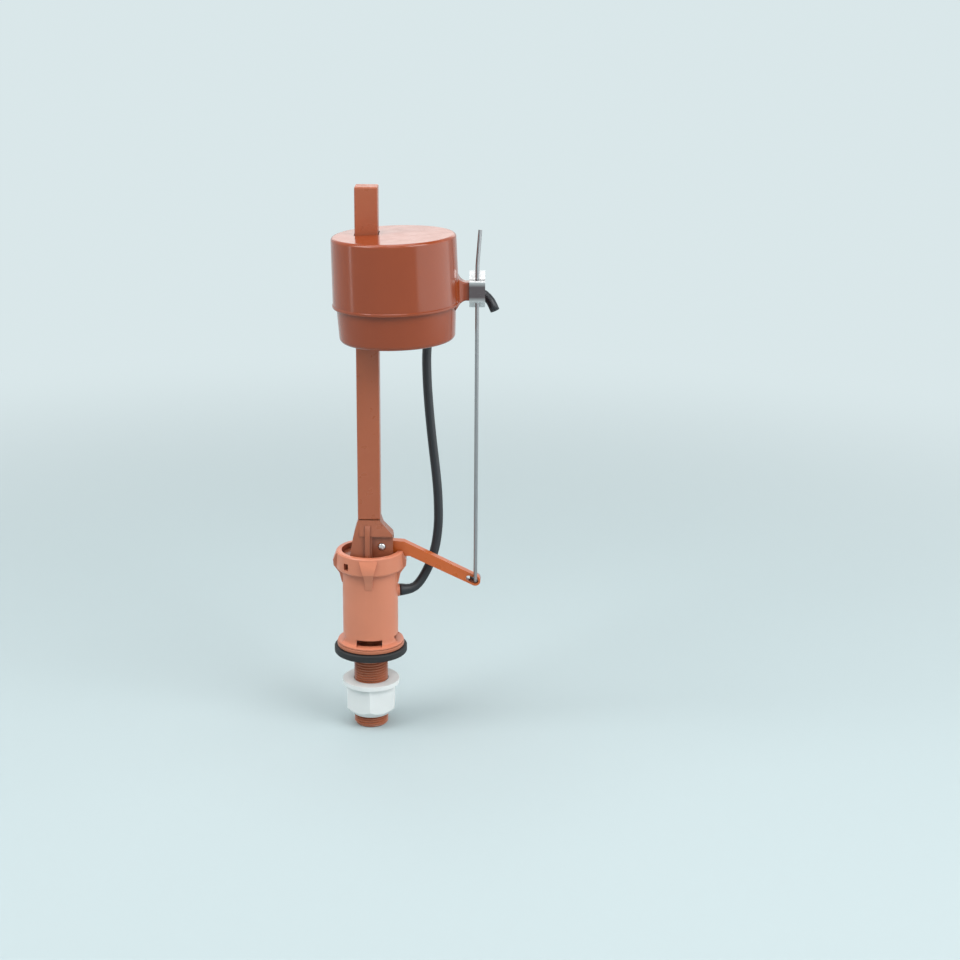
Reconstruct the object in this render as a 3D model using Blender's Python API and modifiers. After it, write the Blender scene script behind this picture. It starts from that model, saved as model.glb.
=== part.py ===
"""Toilet fill valve with a float that slides on a square mast: one named object for each piece.

Metres, +Z up. The origin is the centre of the gasket's underside, on the tank floor and on the
shank's axis. +X points from the mast to the lift rod, and -Y is the front.
"""

import math

import bmesh
import bpy
from mathutils import Matrix, Vector

# Clearances and facets
FIT_GAP = 0.0003
RUNNING_GAP = 0.0005
ROUND_SIDES = 48
SMALL_SIDES = 24
ARC_STEPS = 5
HOLE_STEPS = 24
CURVE_STEPS = 16
EDGE_ANGLE = 40.0
OVERLAP = 0.001

# Threaded inlet shank and its flange
SHANK_RADIUS = 0.0111
SHANK_LENGTH = 0.0508
SHANK_BORE_RADIUS = 0.0062
SHANK_CHAMFER = 0.0014
THREAD_PITCH = 0.001814
THREAD_DEPTH = 0.001
THREAD_SIDES = 24
NECK_EXTRA = 0.0004
NECK_DEPTH = 0.0012
FLANGE_RADIUS = 0.0219
FLANGE_HEIGHT = 0.0024
RISER_RADIUS = 0.0092

# Gasket, tank floor, lock nut and inlet screen
GASKET_RADIUS = 0.0238
GASKET_HEIGHT = 0.0048
GASKET_EDGE = 0.0006
TANK_FLOOR_GAP = 0.019
NUT_HALF_WIDTH = 0.0154
NUT_HEIGHT = 0.024
NUT_CHAMFER = 0.0055
NUT_COLLAR_HEIGHT = 0.003
NUT_COLLAR_EXTRA = 0.0009
SCREEN_HEIGHT = 0.004
SCREEN_DEPTH = 0.003
SCREEN_WALL = 0.001
SCREEN_BAR = 0.0012

# Splash shroud with its crown collar
SHROUD_RADIUS = 0.018
SHROUD_WALL = 0.0018
SHROUD_HEIGHT = 0.0626
FOOT_FLARE = 0.0034
FOOT_WAIST = 0.0009
FOOT_HEIGHT = 0.0042
FOOT_EDGE = 0.0008
CROWN_DEPTH = 0.0099
CROWN_BORE_RADIUS = 0.0184
CROWN_RIM_RADIUS = 0.0219
CROWN_EDGE = 0.0008
CROWN_BAND = 0.0121
CROWN_STEP_WALL = 0.0013
CROWN_FLOOR = 0.0035
NOTCH_DEPTH = 0.0041
GUSSET_PROUD = 0.0018
GUSSET_TOP_DROP = 0.0014
GUSSET_BELLY_DROP = 0.006
GUSSET_KNEE_DROP = 0.0155
GUSSET_FOOT_DROP = 0.0222
GUSSET_TOP_WIDTH = 0.0118
GUSSET_WAIST_WIDTH = 0.0068
GUSSET_KNEE_WIDTH = 0.0052
GUSSET_KNEE_PROUD = 0.0018
GUSSET_FOOT_WIDTH = 0.0044
LATCH_WIDTH = 0.004
LATCH_HEIGHT = 0.0045
LATCH_RISE = 0.0027
LATCH_ANGLES = (48.0, 228.0)
OUTLET_WIDTH = 0.0166
OUTLET_HEIGHT = 0.0042
OUTLET_RISE = 0.0012

# Refill nipple on the shroud
NIPPLE_HEIGHT = 0.041
NIPPLE_ANGLE = 12.0
NIPPLE_BOSS_RADIUS = 0.0042
NIPPLE_BOSS_LENGTH = 0.0009
NIPPLE_RADIUS = 0.0022
NIPPLE_BARB = 0.0004
NIPPLE_LENGTH = 0.005
NIPPLE_BORE_RADIUS = 0.0012

# Valve head
HEAD_HEIGHT = 0.0216
HEAD_SUNK = 0.0044
SPIGOT_LENGTH = 0.005
SKIRT_FOOT_HALF = 0.0127
SKIRT_CHEST_HALF = 0.0103
SKIRT_CHEST_DROP = 0.011
SKIRT_NECK_HALF = 0.0087
SKIRT_NECK_DROP = 0.0055
HOOD_RISE = 0.0114
HOOD_SIDE = 0.0012
HOOD_SLOPE = 0.0072
HOOD_REACH = 0.0152
HOOD_FRONT = 0.0105
HOOD_BACK = 0.001
CHEEK_HALF_DEPTH = 0.0086
CHEEK_START = 0.002
CHEEK_RISE = 0.0042
RIB_X = -0.0009
RIB_HALF_WIDTH = 0.0016
RIB_PROUD = 0.0016
RIB_TOP_DROP = 0.0032
STUB_HEIGHT = 0.009

# Mast
MAST_HALF = 0.00715
MAST_WALL = 0.0016
MAST_LENGTH = 0.2129
MAST_EDGE = 0.0008

# Pivot pin and its clip
PIVOT_X = 0.0081
PIVOT_RISE = 0.0043
PIN_RADIUS = 0.0022
PIN_PROUD = 0.0006
PIN_TAIL = 0.002
CLIP_RING_RADIUS = 0.0041
CLIP_RING_HEIGHT = 0.0008

# Lever
LEVER_HALF_THICKNESS = 0.003
LEVER_SWING = 18.0
LEVER_TOP = 0.0027
LEVER_KNEE_X = 0.0142
LEVER_KNEE_TOP = 0.0017
LEVER_LOW_KNEE_PAST = 0.0022
LEVER_HEEL = 0.0058
NOSE_DROP = 0.0027
NOSE_PAST = 0.0032
TIP_RADIUS = 0.0033
EYE_DROP = 0.0249

# Lift rod and its keeper
ROD_X = 0.0684
ROD_Y = -0.0046
ROD_RADIUS = 0.0012
ROD_HEIGHT = 0.2293
ROD_BEND_RADIUS = 0.0026
ROD_TAIL_LENGTH = 0.022
ROD_TAIL_LEAN = 0.0016
EYE_CLEARANCE = 0.0006
KEEPER_RADIUS = 0.0036
KEEPER_HEIGHT = 0.001
FOOT_PAST_KEEPER = 0.0012

# Seat, washer and plunger
SEAT_DROP = 0.0073
SEAT_LIP_HEIGHT = 0.0012
SEAT_LIP_WALL = 0.0009
SEAT_BORE_RADIUS = 0.0034
SEAT_RING_RADIUS = 0.0074
SEAT_RING_HEIGHT = 0.004
VALVE_TRAVEL = 0.0029
WASHER_RADIUS = 0.0058
WASHER_HEIGHT = 0.002
PLUNGER_FLANGE_HEIGHT = 0.0015
PLUNGER_RADIUS = 0.004
PLUNGER_NUB_RADIUS = 0.0012
CHAMBER_CLEARANCE = 0.004
RING_SECTION_RADIUS = 0.00075
GROOVE_LIP = 0.0008
PLUNGER_RING_RADIUS = 0.0006

# Float
FLOAT_X = 0.0183
FLOAT_Y = -0.008
FLOAT_LEAN = 2.0
FLOAT_SETTING = 0.1858
CAP_HEIGHT = 0.0436
CAP_RIM_RADIUS = 0.0392
CAP_DRAFT = 0.0006
CAP_EDGE = 0.0022
CUP_HEIGHT = 0.0218
CUP_INSET = 0.0002
CUP_DRAFT = 0.0012
CUP_EDGE = 0.003
CUP_LAP = 0.004
CUP_BEAD_HEIGHT = 0.002
FLOAT_WALL = 0.0014
TUNNEL_CLEARANCE = 0.0016
TUNNEL_WALL = 0.0016
LUG_HEIGHT = 0.0115
LUG_RISE = 0.0028
LUG_HALF_WIDTH = 0.0045
LUG_PAST_ROD = 0.0042
LUG_EDGE = 0.0008

# Adjusting clip
SPRING_THICKNESS = 0.0008
SPRING_WIDTH = 0.0098
SPRING_EAR_REACH = 0.0026
SPRING_EAR_RISE = 0.005

# Refill hose
HOSE_RADIUS = 0.003
HOSE_BORE_RADIUS = 0.002
HOSE_CUFF_WALL = 0.0011
HOSE_END_BORE_DEPTH = 0.012
HOSE_POINT_SPACING = 0.012
HOSE_ROUTE = (
    (0.0283, 0.0066, 0.0420),
    (0.0324, 0.0090, 0.0456),
    (0.0363, 0.0120, 0.0517),
    (0.0396, 0.0150, 0.0588),
    (0.0418, 0.0175, 0.0662),
    (0.0432, 0.0196, 0.0745),
    (0.0439, 0.0214, 0.0860),
    (0.0433, 0.0240, 0.1025),
    (0.0418, 0.0265, 0.1175),
    (0.0394, 0.0295, 0.1377),
    (0.0374, 0.0320, 0.1579),
    (0.0361, 0.0345, 0.1773),
    (0.0360, 0.0365, 0.1941),
    (0.0380, 0.0375, 0.2095),
    (0.0435, 0.0360, 0.2225),
    (0.0520, 0.0325, 0.2315),
    (0.0620, 0.0275, 0.2355),
    (0.0710, 0.0230, 0.2345),
    (0.0765, 0.0190, 0.2305),
    (0.0797, 0.0165, 0.2245),
)

# Heights worked out from the floor up
FLANGE_BOTTOM_Z = GASKET_HEIGHT + FIT_GAP
FLANGE_TOP_Z = FLANGE_BOTTOM_Z + FLANGE_HEIGHT
SHROUD_BOTTOM_Z = FLANGE_TOP_Z + FIT_GAP
RIM_Z = SHROUD_BOTTOM_Z + SHROUD_HEIGHT
SHELF_Z = RIM_Z - CROWN_DEPTH
PIVOT_Z = RIM_Z + PIVOT_RISE
HEAD_TOP_Z = RIM_Z + HEAD_HEIGHT
MAST_BOTTOM_Z = HEAD_TOP_Z + FIT_GAP
NOTCH_Z = RIM_Z - NOTCH_DEPTH
HEAD_FOOT_Z = RIM_Z - HEAD_SUNK
HOOD_Z = RIM_Z + HOOD_RISE
SPIGOT_BOTTOM_Z = SHELF_Z - SPIGOT_LENGTH
SEAT_LIP_Z = SHELF_Z - SEAT_DROP
RISER_TOP_Z = SEAT_LIP_Z - SEAT_LIP_HEIGHT
WASHER_BOTTOM_Z = SEAT_LIP_Z + FIT_GAP + VALVE_TRAVEL
PLUNGER_FOOT_Z = WASHER_BOTTOM_Z + WASHER_HEIGHT + FIT_GAP
CHAMBER_TOP_Z = PLUNGER_FOOT_Z + PLUNGER_FLANGE_HEIGHT + RUNNING_GAP
SLOT_FLOOR_Z = NOTCH_Z - RUNNING_GAP
PLUNGER_TOP_Z = PIVOT_Z - NOSE_DROP - FIT_GAP
EYE_Z = PIVOT_Z - EYE_DROP
LUG_BOTTOM_Z = EYE_Z + FLOAT_SETTING
FLOAT_SEAM_Z = LUG_BOTTOM_Z - LUG_RISE
GROOVE_HALF_HEIGHT = RING_SECTION_RADIUS + FIT_GAP
GROOVE_Z = SPIGOT_BOTTOM_Z + GROOVE_LIP + GROOVE_HALF_HEIGHT
LATCH_Z = SHELF_Z + LATCH_RISE
PLUNGER_GROOVE_Z = SLOT_FLOOR_Z - 2 * PLUNGER_RING_RADIUS

# Radii and half widths worked out from what they fit
NECK_RADIUS = SHANK_RADIUS + NECK_EXTRA
SHROUD_BORE_RADIUS = SHROUD_RADIUS - SHROUD_WALL
FOOT_RADIUS = SHROUD_RADIUS + FOOT_FLARE
CROWN_STEP_RADIUS = CROWN_BORE_RADIUS + CROWN_STEP_WALL
GUSSET_RADIUS = CROWN_RIM_RADIUS + GUSSET_PROUD
PLUG_RADIUS = CROWN_BORE_RADIUS - FIT_GAP
SPIGOT_RADIUS = SHROUD_BORE_RADIUS - FIT_GAP
GUIDE_RADIUS = PLUNGER_RADIUS + FIT_GAP
CHAMBER_RADIUS = WASHER_RADIUS + CHAMBER_CLEARANCE
EYE_HALF_WIDTH = ROD_RADIUS + EYE_CLEARANCE
ROD_HOLE_RADIUS = ROD_RADIUS + FIT_GAP
CAP_TOP_RADIUS = CAP_RIM_RADIUS - CAP_DRAFT
CUP_TOP_RADIUS = CAP_RIM_RADIUS - FLOAT_WALL - FIT_GAP - CUP_INSET
CUP_FOOT_RADIUS = CUP_TOP_RADIUS - CUP_DRAFT
TUNNEL_HALF = MAST_HALF + TUNNEL_CLEARANCE
SLEEVE_HALF = TUNNEL_HALF + TUNNEL_WALL
NIPPLE_START = SHROUD_RADIUS + NIPPLE_BOSS_LENGTH
CUFF_BORE_RADIUS = NIPPLE_RADIUS + NIPPLE_BARB + FIT_GAP
CUFF_RADIUS = CUFF_BORE_RADIUS + HOSE_CUFF_WALL


# Scene, materials and modifiers


def clear_scene():
    for obj in list(bpy.data.objects):
        bpy.data.objects.remove(obj, do_unlink=True)


def new_collection(name):
    collection = bpy.data.collections.new(name)
    bpy.context.scene.collection.children.link(collection)
    return collection


def finish(name, colour, roughness, metallic=0.0):
    made = bpy.data.materials.new(name)
    made.use_nodes = True
    shader = made.node_tree.nodes["Principled BSDF"]
    shader.inputs["Base Color"].default_value = (*colour, 1.0)
    shader.inputs["Roughness"].default_value = roughness
    shader.inputs["Metallic"].default_value = metallic
    return made


def piece(name, mesh, made_of, location=(0, 0, 0), rotation=(0, 0, 0)):
    obj = bpy.data.objects.new(name, mesh)
    obj.location = location
    obj.rotation_euler = rotation
    mesh.materials.append(made_of)
    PARTS.objects.link(obj)
    return obj


def tool(name, mesh, location=(0, 0, 0), rotation=(0, 0, 0)):
    """A helper for a Boolean: it is not a piece of the valve."""
    obj = bpy.data.objects.new(name, mesh)
    obj.location = location
    obj.rotation_euler = rotation
    obj.hide_render = True
    obj.display_type = "WIRE"
    CUTTERS.objects.link(obj)
    return obj


def boolean(obj, operation, other):
    modifier = obj.modifiers.new(other.name, "BOOLEAN")
    modifier.operation = operation
    modifier.solver = "EXACT"
    modifier.object = other


def join(obj, *others):
    for other in others:
        boolean(obj, "UNION", other)


def cut(obj, *others):
    for other in others:
        boolean(obj, "DIFFERENCE", other)


def turn(obj, sides=ROUND_SIDES, climb=0.0):
    modifier = obj.modifiers.new("Turn", "SCREW")
    modifier.axis = "Z"
    modifier.steps = sides
    modifier.render_steps = sides
    modifier.screw_offset = climb
    modifier.use_merge_vertices = True
    modifier.merge_threshold = 1e-6
    modifier.use_smooth_shade = True


# Meshes


def profile_mesh(name, points, closed):
    """A profile of (radius, height) points for a Screw modifier, running down its outer side."""
    mesh = bpy.data.meshes.new(name)
    count = len(points)
    edges = [(i, i + 1) for i in range(count - 1)]
    if closed:
        edges.append((count - 1, 0))
    mesh.from_pydata([(radius, 0.0, height) for radius, height in points], edges, [])
    return mesh


def turned_piece(name, points, made_of, closed=True, sides=ROUND_SIDES, **place):
    obj = piece(name, profile_mesh(name, points, closed), made_of, **place)
    turn(obj, sides)
    return obj


def turned_tool(name, points, closed=False, sides=ROUND_SIDES, **place):
    obj = tool(name, profile_mesh(name, points, closed), **place)
    turn(obj, sides)
    return obj


def rod_profile(radius, top, bottom):
    return [(0, top), (radius, top), (radius, bottom), (0, bottom)]


def tube_profile(outer, inner, top, bottom):
    return [(inner, top), (outer, top), (outer, bottom), (inner, bottom)]


def arc(centre, radius, start, end, steps):
    """Points on a circle between two angles in degrees, both ends included."""
    points = []
    for i in range(steps + 1):
        angle = math.radians(start + (end - start) * i / steps)
        points.append((centre[0] + radius * math.cos(angle), centre[1] + radius * math.sin(angle)))
    return points


def box_mesh(name, low, high):
    mesh = bpy.data.meshes.new(name)
    cage = bmesh.new()
    bmesh.ops.create_cube(cage, size=1.0)
    for vert in cage.verts:
        for axis in range(3):
            vert.co[axis] = high[axis] if vert.co[axis] > 0 else low[axis]
    cage.to_mesh(mesh)
    cage.free()
    return mesh


def loft_mesh(name, sections):
    """A stack of rectangles, each (height, low x, high x, low y, high y), from the bottom up."""
    mesh = bpy.data.meshes.new(name)
    cage = bmesh.new()
    rings = []
    for height, low_x, high_x, low_y, high_y in sections:
        corners = ((low_x, low_y), (high_x, low_y), (high_x, high_y), (low_x, high_y))
        rings.append([cage.verts.new((x, y, height)) for x, y in corners])
    cage.faces.new(rings[0])
    cage.faces.new(rings[-1])
    for lower, upper in zip(rings, rings[1:]):
        for i in range(4):
            cage.faces.new((lower[i], lower[i - 1], upper[i - 1], upper[i]))
    bmesh.ops.recalc_face_normals(cage, faces=cage.faces)
    cage.to_mesh(mesh)
    cage.free()
    return mesh


def mesh_of(obj, merge=1e-6):
    """The object's evaluated shape as a mesh of its own, with the loose caps of a curve welded."""
    bpy.context.view_layer.update()
    graph = bpy.context.evaluated_depsgraph_get()
    mesh = bpy.data.meshes.new_from_object(obj.evaluated_get(graph))
    cage = bmesh.new()
    cage.from_mesh(mesh)
    bmesh.ops.remove_doubles(cage, verts=cage.verts, dist=merge)
    cage.to_mesh(mesh)
    cage.free()
    bpy.data.objects.remove(obj, do_unlink=True)
    return mesh


def plate_mesh(name, outlines, half_thickness):
    """A flat plate in X and Z from closed outlines, the first the edge and the rest its holes."""
    curve = bpy.data.curves.new(name, "CURVE")
    curve.dimensions = "2D"
    curve.fill_mode = "BOTH"
    curve.extrude = half_thickness
    for outline in outlines:
        spline = curve.splines.new("POLY")
        spline.points.add(len(outline) - 1)
        for point, (x, z) in zip(spline.points, outline):
            point.co = (x, z, 0.0, 1.0)
        spline.use_cyclic_u = True
    mesh = mesh_of(tool(name + "_outline", curve))
    mesh.transform(Matrix.Rotation(math.radians(90), 4, "X"))
    return mesh


def wire_curve(name, points, radius, rings, radii=None):
    curve = bpy.data.curves.new(name, "CURVE")
    curve.dimensions = "3D"
    curve.bevel_depth = radius
    curve.bevel_resolution = rings
    curve.use_fill_caps = True
    spline = curve.splines.new("POLY")
    spline.points.add(len(points) - 1)
    for i, point in enumerate(points):
        spline.points[i].co = (*point, 1.0)
        spline.points[i].radius = radii[i] if radii else 1.0
    return curve


def bevel(obj, width, segments=1):
    modifier = obj.modifiers.new("Edges", "BEVEL")
    modifier.width = width
    modifier.segments = segments
    modifier.limit_method = "ANGLE"
    modifier.angle_limit = math.radians(EDGE_ANGLE)


def about_axis(angle, x, y, z):
    """A place given at angle 0, turned about the shank's axis."""
    return Matrix.Rotation(math.radians(angle), 4, "Z") @ Vector((x, y, z))


# Inlet


def thread_tool():
    """A solid screw thread: one turn of a zigzag profile that climbs by its own pitch."""
    turns = math.ceil(SHANK_LENGTH / THREAD_PITCH) + 2
    root = SHANK_RADIUS - THREAD_DEPTH
    top = THREAD_PITCH
    points = [(0, top)]
    for i in range(turns):
        points.append((root, top - i * THREAD_PITCH))
        points.append((SHANK_RADIUS, top - (i + 0.5) * THREAD_PITCH))
    points.append((root, top - turns * THREAD_PITCH))
    points.append((0, top - turns * THREAD_PITCH))
    helix = tool("thread_turn", profile_mesh("thread_turn", points, closed=False))
    turn(helix, THREAD_SIDES, climb=THREAD_PITCH)
    mesh = mesh_of(helix)
    cage = bmesh.new()
    cage.from_mesh(mesh)
    bmesh.ops.holes_fill(cage, edges=[edge for edge in cage.edges if edge.is_boundary])
    bmesh.ops.triangulate(cage, faces=cage.faces)
    bmesh.ops.recalc_face_normals(cage, faces=cage.faces)
    cage.to_mesh(mesh)
    cage.free()
    thread = tool("thread", mesh)
    wide = SHANK_RADIUS + OVERLAP
    bottom = -SHANK_LENGTH
    envelope = [
        (0, -NECK_DEPTH + FIT_GAP),
        (wide, -NECK_DEPTH + FIT_GAP),
        (wide, bottom + SHANK_CHAMFER + OVERLAP),
        (SHANK_RADIUS - SHANK_CHAMFER, bottom),
        (0, bottom),
    ]
    boolean(thread, "INTERSECT", turned_tool("thread_envelope", envelope))
    return thread


def make_shank():
    core = SHANK_RADIUS - THREAD_DEPTH - FIT_GAP
    bottom = -SHANK_LENGTH + SHANK_CHAMFER
    profile = [
        (0, RISER_TOP_Z),
        (RISER_RADIUS, RISER_TOP_Z),
        (RISER_RADIUS, FLANGE_TOP_Z),
        (FLANGE_RADIUS, FLANGE_TOP_Z),
        (FLANGE_RADIUS, FLANGE_BOTTOM_Z),
        (NECK_RADIUS, FLANGE_BOTTOM_Z),
        (NECK_RADIUS, -NECK_DEPTH),
        (core, -NECK_DEPTH),
        (core, bottom),
        (0, bottom),
    ]
    shank = turned_piece("shank_body", profile, BODY_PLASTIC, closed=False)
    socket = SEAT_RING_RADIUS + FIT_GAP
    socket_floor = RISER_TOP_Z - SEAT_RING_HEIGHT - FIT_GAP
    screen_pocket = SHANK_BORE_RADIUS + SCREEN_WALL
    screen_top = -SHANK_LENGTH + SCREEN_DEPTH + SCREEN_HEIGHT + FIT_GAP
    bore = [
        (0, RISER_TOP_Z + OVERLAP),
        (socket, RISER_TOP_Z + OVERLAP),
        (socket, socket_floor),
        (SHANK_BORE_RADIUS, socket_floor),
        (SHANK_BORE_RADIUS, screen_top),
        (screen_pocket, screen_top),
        (screen_pocket, -SHANK_LENGTH - OVERLAP),
        (0, -SHANK_LENGTH - OVERLAP),
    ]
    join(shank, thread_tool())
    cut(shank, turned_tool("shank_bore", bore))


def make_gasket():
    bore = NECK_RADIUS + FIT_GAP
    edge = GASKET_EDGE
    profile = [
        (bore, GASKET_HEIGHT),
        (GASKET_RADIUS - edge, GASKET_HEIGHT),
        (GASKET_RADIUS, GASKET_HEIGHT - edge),
        (GASKET_RADIUS, edge),
        (GASKET_RADIUS - edge, 0),
        (bore, 0),
    ]
    turned_piece("shank_gasket", profile, RUBBER)


def make_lock_nut():
    """A hexagon with a round collar against the tank floor, chamfered at its lower end."""
    top = -TANK_FLOOR_GAP
    bottom = top - NUT_HEIGHT
    bore = SHANK_RADIUS + FIT_GAP
    corner = NUT_HALF_WIDTH / math.cos(math.pi / 6)
    collar = corner + NUT_COLLAR_EXTRA
    collar_bottom = top - NUT_COLLAR_HEIGHT
    profile = [
        (bore, top),
        (collar, top),
        (collar, collar_bottom),
        (corner + OVERLAP, collar_bottom - FIT_GAP),
        (corner + OVERLAP, bottom + NUT_CHAMFER + OVERLAP),
        (corner - NUT_CHAMFER, bottom),
        (bore, bottom),
    ]
    nut = turned_piece("lock_nut", profile, NUT_PLASTIC)
    side = corner * 2
    for i in range(6):
        angle = math.radians(60 * i)
        low = (NUT_HALF_WIDTH, -side, bottom - OVERLAP)
        high = (NUT_HALF_WIDTH + side, side, collar_bottom)
        flat = tool(f"nut_flat_{i}", box_mesh(f"nut_flat_{i}", low, high), rotation=(0, 0, angle))
        cut(nut, flat)


def make_inlet_screen():
    """A short ring with crossed bars, in the mouth of the inlet."""
    bottom = -SHANK_LENGTH + SCREEN_DEPTH
    top = bottom + SCREEN_HEIGHT
    outer = SHANK_BORE_RADIUS + SCREEN_WALL - FIT_GAP
    inner = outer - SCREEN_WALL
    ring = turned_piece("inlet_screen", tube_profile(outer, inner, top, bottom), NUT_PLASTIC)
    half = SCREEN_BAR / 2
    reach = inner + SCREEN_WALL / 2
    bars = ((reach, half), (half, reach))
    for i, (x, y) in enumerate(bars):
        low = (-x, -y, bottom + half)
        high = (x, y, bottom + half + SCREEN_BAR)
        join(ring, tool(f"screen_bar_{i}", box_mesh(f"screen_bar_{i}", low, high)))


# Shroud


def gusset_tool(angle):
    """A bracket that swells from the cylinder to the crown's belly and fades into the rim."""
    root = SHROUD_RADIUS - SHROUD_WALL / 2
    seat = (CROWN_BORE_RADIUS + CROWN_RIM_RADIUS) / 2
    foot = GUSSET_FOOT_WIDTH / 2
    knee = GUSSET_KNEE_WIDTH / 2
    waist = GUSSET_WAIST_WIDTH / 2
    top = GUSSET_TOP_WIDTH / 2
    belly = (waist + top) / 2
    shelf_drop = CROWN_DEPTH + FIT_GAP
    knee_radius = SHROUD_RADIUS + GUSSET_KNEE_PROUD
    lower = [
        (RIM_Z - GUSSET_FOOT_DROP, root, SHROUD_RADIUS + FIT_GAP, -foot, foot),
        (RIM_Z - GUSSET_KNEE_DROP, root, knee_radius, -knee, knee),
        (RIM_Z - shelf_drop, root, GUSSET_RADIUS - FIT_GAP, -waist, waist),
    ]
    upper = [
        (RIM_Z - shelf_drop - FIT_GAP, seat, GUSSET_RADIUS - FIT_GAP, -waist, waist),
        (RIM_Z - GUSSET_BELLY_DROP, seat, GUSSET_RADIUS, -belly, belly),
        (RIM_Z - GUSSET_TOP_DROP, seat, CROWN_RIM_RADIUS - FIT_GAP, -top, top),
    ]
    turned = (0, 0, math.radians(angle))
    for name, sections in ((f"gusset_foot_{angle}", lower), (f"gusset_belly_{angle}", upper)):
        yield tool(name, loft_mesh(name, sections), rotation=turned)


def nipple_tool():
    """The hose barb with its boss, turned to point out of the shroud."""
    inside = SHROUD_RADIUS - SHROUD_WALL / 2
    end = NIPPLE_START + NIPPLE_LENGTH
    barb = NIPPLE_RADIUS + NIPPLE_BARB
    barb_start = end - NIPPLE_LENGTH / 3
    profile = [
        (0, end),
        (NIPPLE_RADIUS - NIPPLE_BARB, end),
        (barb, barb_start),
        (NIPPLE_RADIUS, barb_start),
        (NIPPLE_RADIUS, NIPPLE_START),
        (NIPPLE_BOSS_RADIUS, NIPPLE_START),
        (NIPPLE_BOSS_RADIUS, inside),
        (0, inside),
    ]
    return turned_tool("nipple", profile, sides=SMALL_SIDES, **nipple_place())


def nipple_place():
    rotation = (0, math.radians(90), math.radians(NIPPLE_ANGLE))
    return {"location": (0, 0, NIPPLE_HEIGHT), "rotation": rotation}


def make_shroud():
    inner = SHROUD_BORE_RADIUS
    floor_bottom = SHELF_Z - CROWN_FLOOR
    band_bottom = RIM_Z - CROWN_BAND
    profile = [
        (inner, SHELF_Z),
        (CROWN_BORE_RADIUS, SHELF_Z),
        (CROWN_BORE_RADIUS, RIM_Z),
        (CROWN_RIM_RADIUS - CROWN_EDGE, RIM_Z),
        (CROWN_RIM_RADIUS, RIM_Z - CROWN_EDGE),
        (CROWN_RIM_RADIUS, band_bottom + CROWN_EDGE),
        (CROWN_RIM_RADIUS - CROWN_EDGE, band_bottom),
        (CROWN_STEP_RADIUS, band_bottom),
        (CROWN_STEP_RADIUS, floor_bottom),
        (SHROUD_RADIUS, floor_bottom),
        (SHROUD_RADIUS, SHROUD_BOTTOM_Z + FOOT_HEIGHT),
        (SHROUD_RADIUS + FOOT_WAIST, SHROUD_BOTTOM_Z + FOOT_HEIGHT / 2),
        (FOOT_RADIUS, SHROUD_BOTTOM_Z + FOOT_EDGE),
        (FOOT_RADIUS, SHROUD_BOTTOM_Z),
        (inner, SHROUD_BOTTOM_Z),
    ]
    shroud = turned_piece("splash_shroud", profile, SHROUD_PLASTIC)
    for angle in (0, 90, 180, 270):
        join(shroud, *gusset_tool(angle))
    join(shroud, nipple_tool())
    bore = rod_profile(NIPPLE_BORE_RADIUS, NIPPLE_START + NIPPLE_LENGTH + OVERLAP, inner - OVERLAP)
    cut(shroud, turned_tool("nipple_bore", bore, sides=SMALL_SIDES, **nipple_place()))
    for angle in LATCH_ANGLES:
        low = (CROWN_BORE_RADIUS - OVERLAP, -LATCH_WIDTH / 2, LATCH_Z - LATCH_HEIGHT / 2)
        high = (GUSSET_RADIUS + OVERLAP, LATCH_WIDTH / 2, LATCH_Z + LATCH_HEIGHT / 2)
        name = f"latch_window_{angle:.0f}"
        cut(shroud, tool(name, box_mesh(name, low, high), rotation=(0, 0, math.radians(angle))))
    notch_half = LEVER_HALF_THICKNESS + RUNNING_GAP
    low = (CROWN_BORE_RADIUS - OVERLAP, -notch_half, NOTCH_Z)
    high = (GUSSET_RADIUS + OVERLAP, notch_half, RIM_Z + OVERLAP)
    cut(shroud, tool("lever_notch", box_mesh("lever_notch", low, high)))
    slot_bottom = SHROUD_BOTTOM_Z + OUTLET_RISE
    for angle in (0, 90, 180, 270):
        low = (inner / 2, -OUTLET_WIDTH / 2, slot_bottom)
        high = (FOOT_RADIUS + OVERLAP, OUTLET_WIDTH / 2, slot_bottom + OUTLET_HEIGHT)
        name = f"outlet_{angle}"
        cut(shroud, tool(name, box_mesh(name, low, high), rotation=(0, 0, math.radians(angle))))


# Valve head


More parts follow.
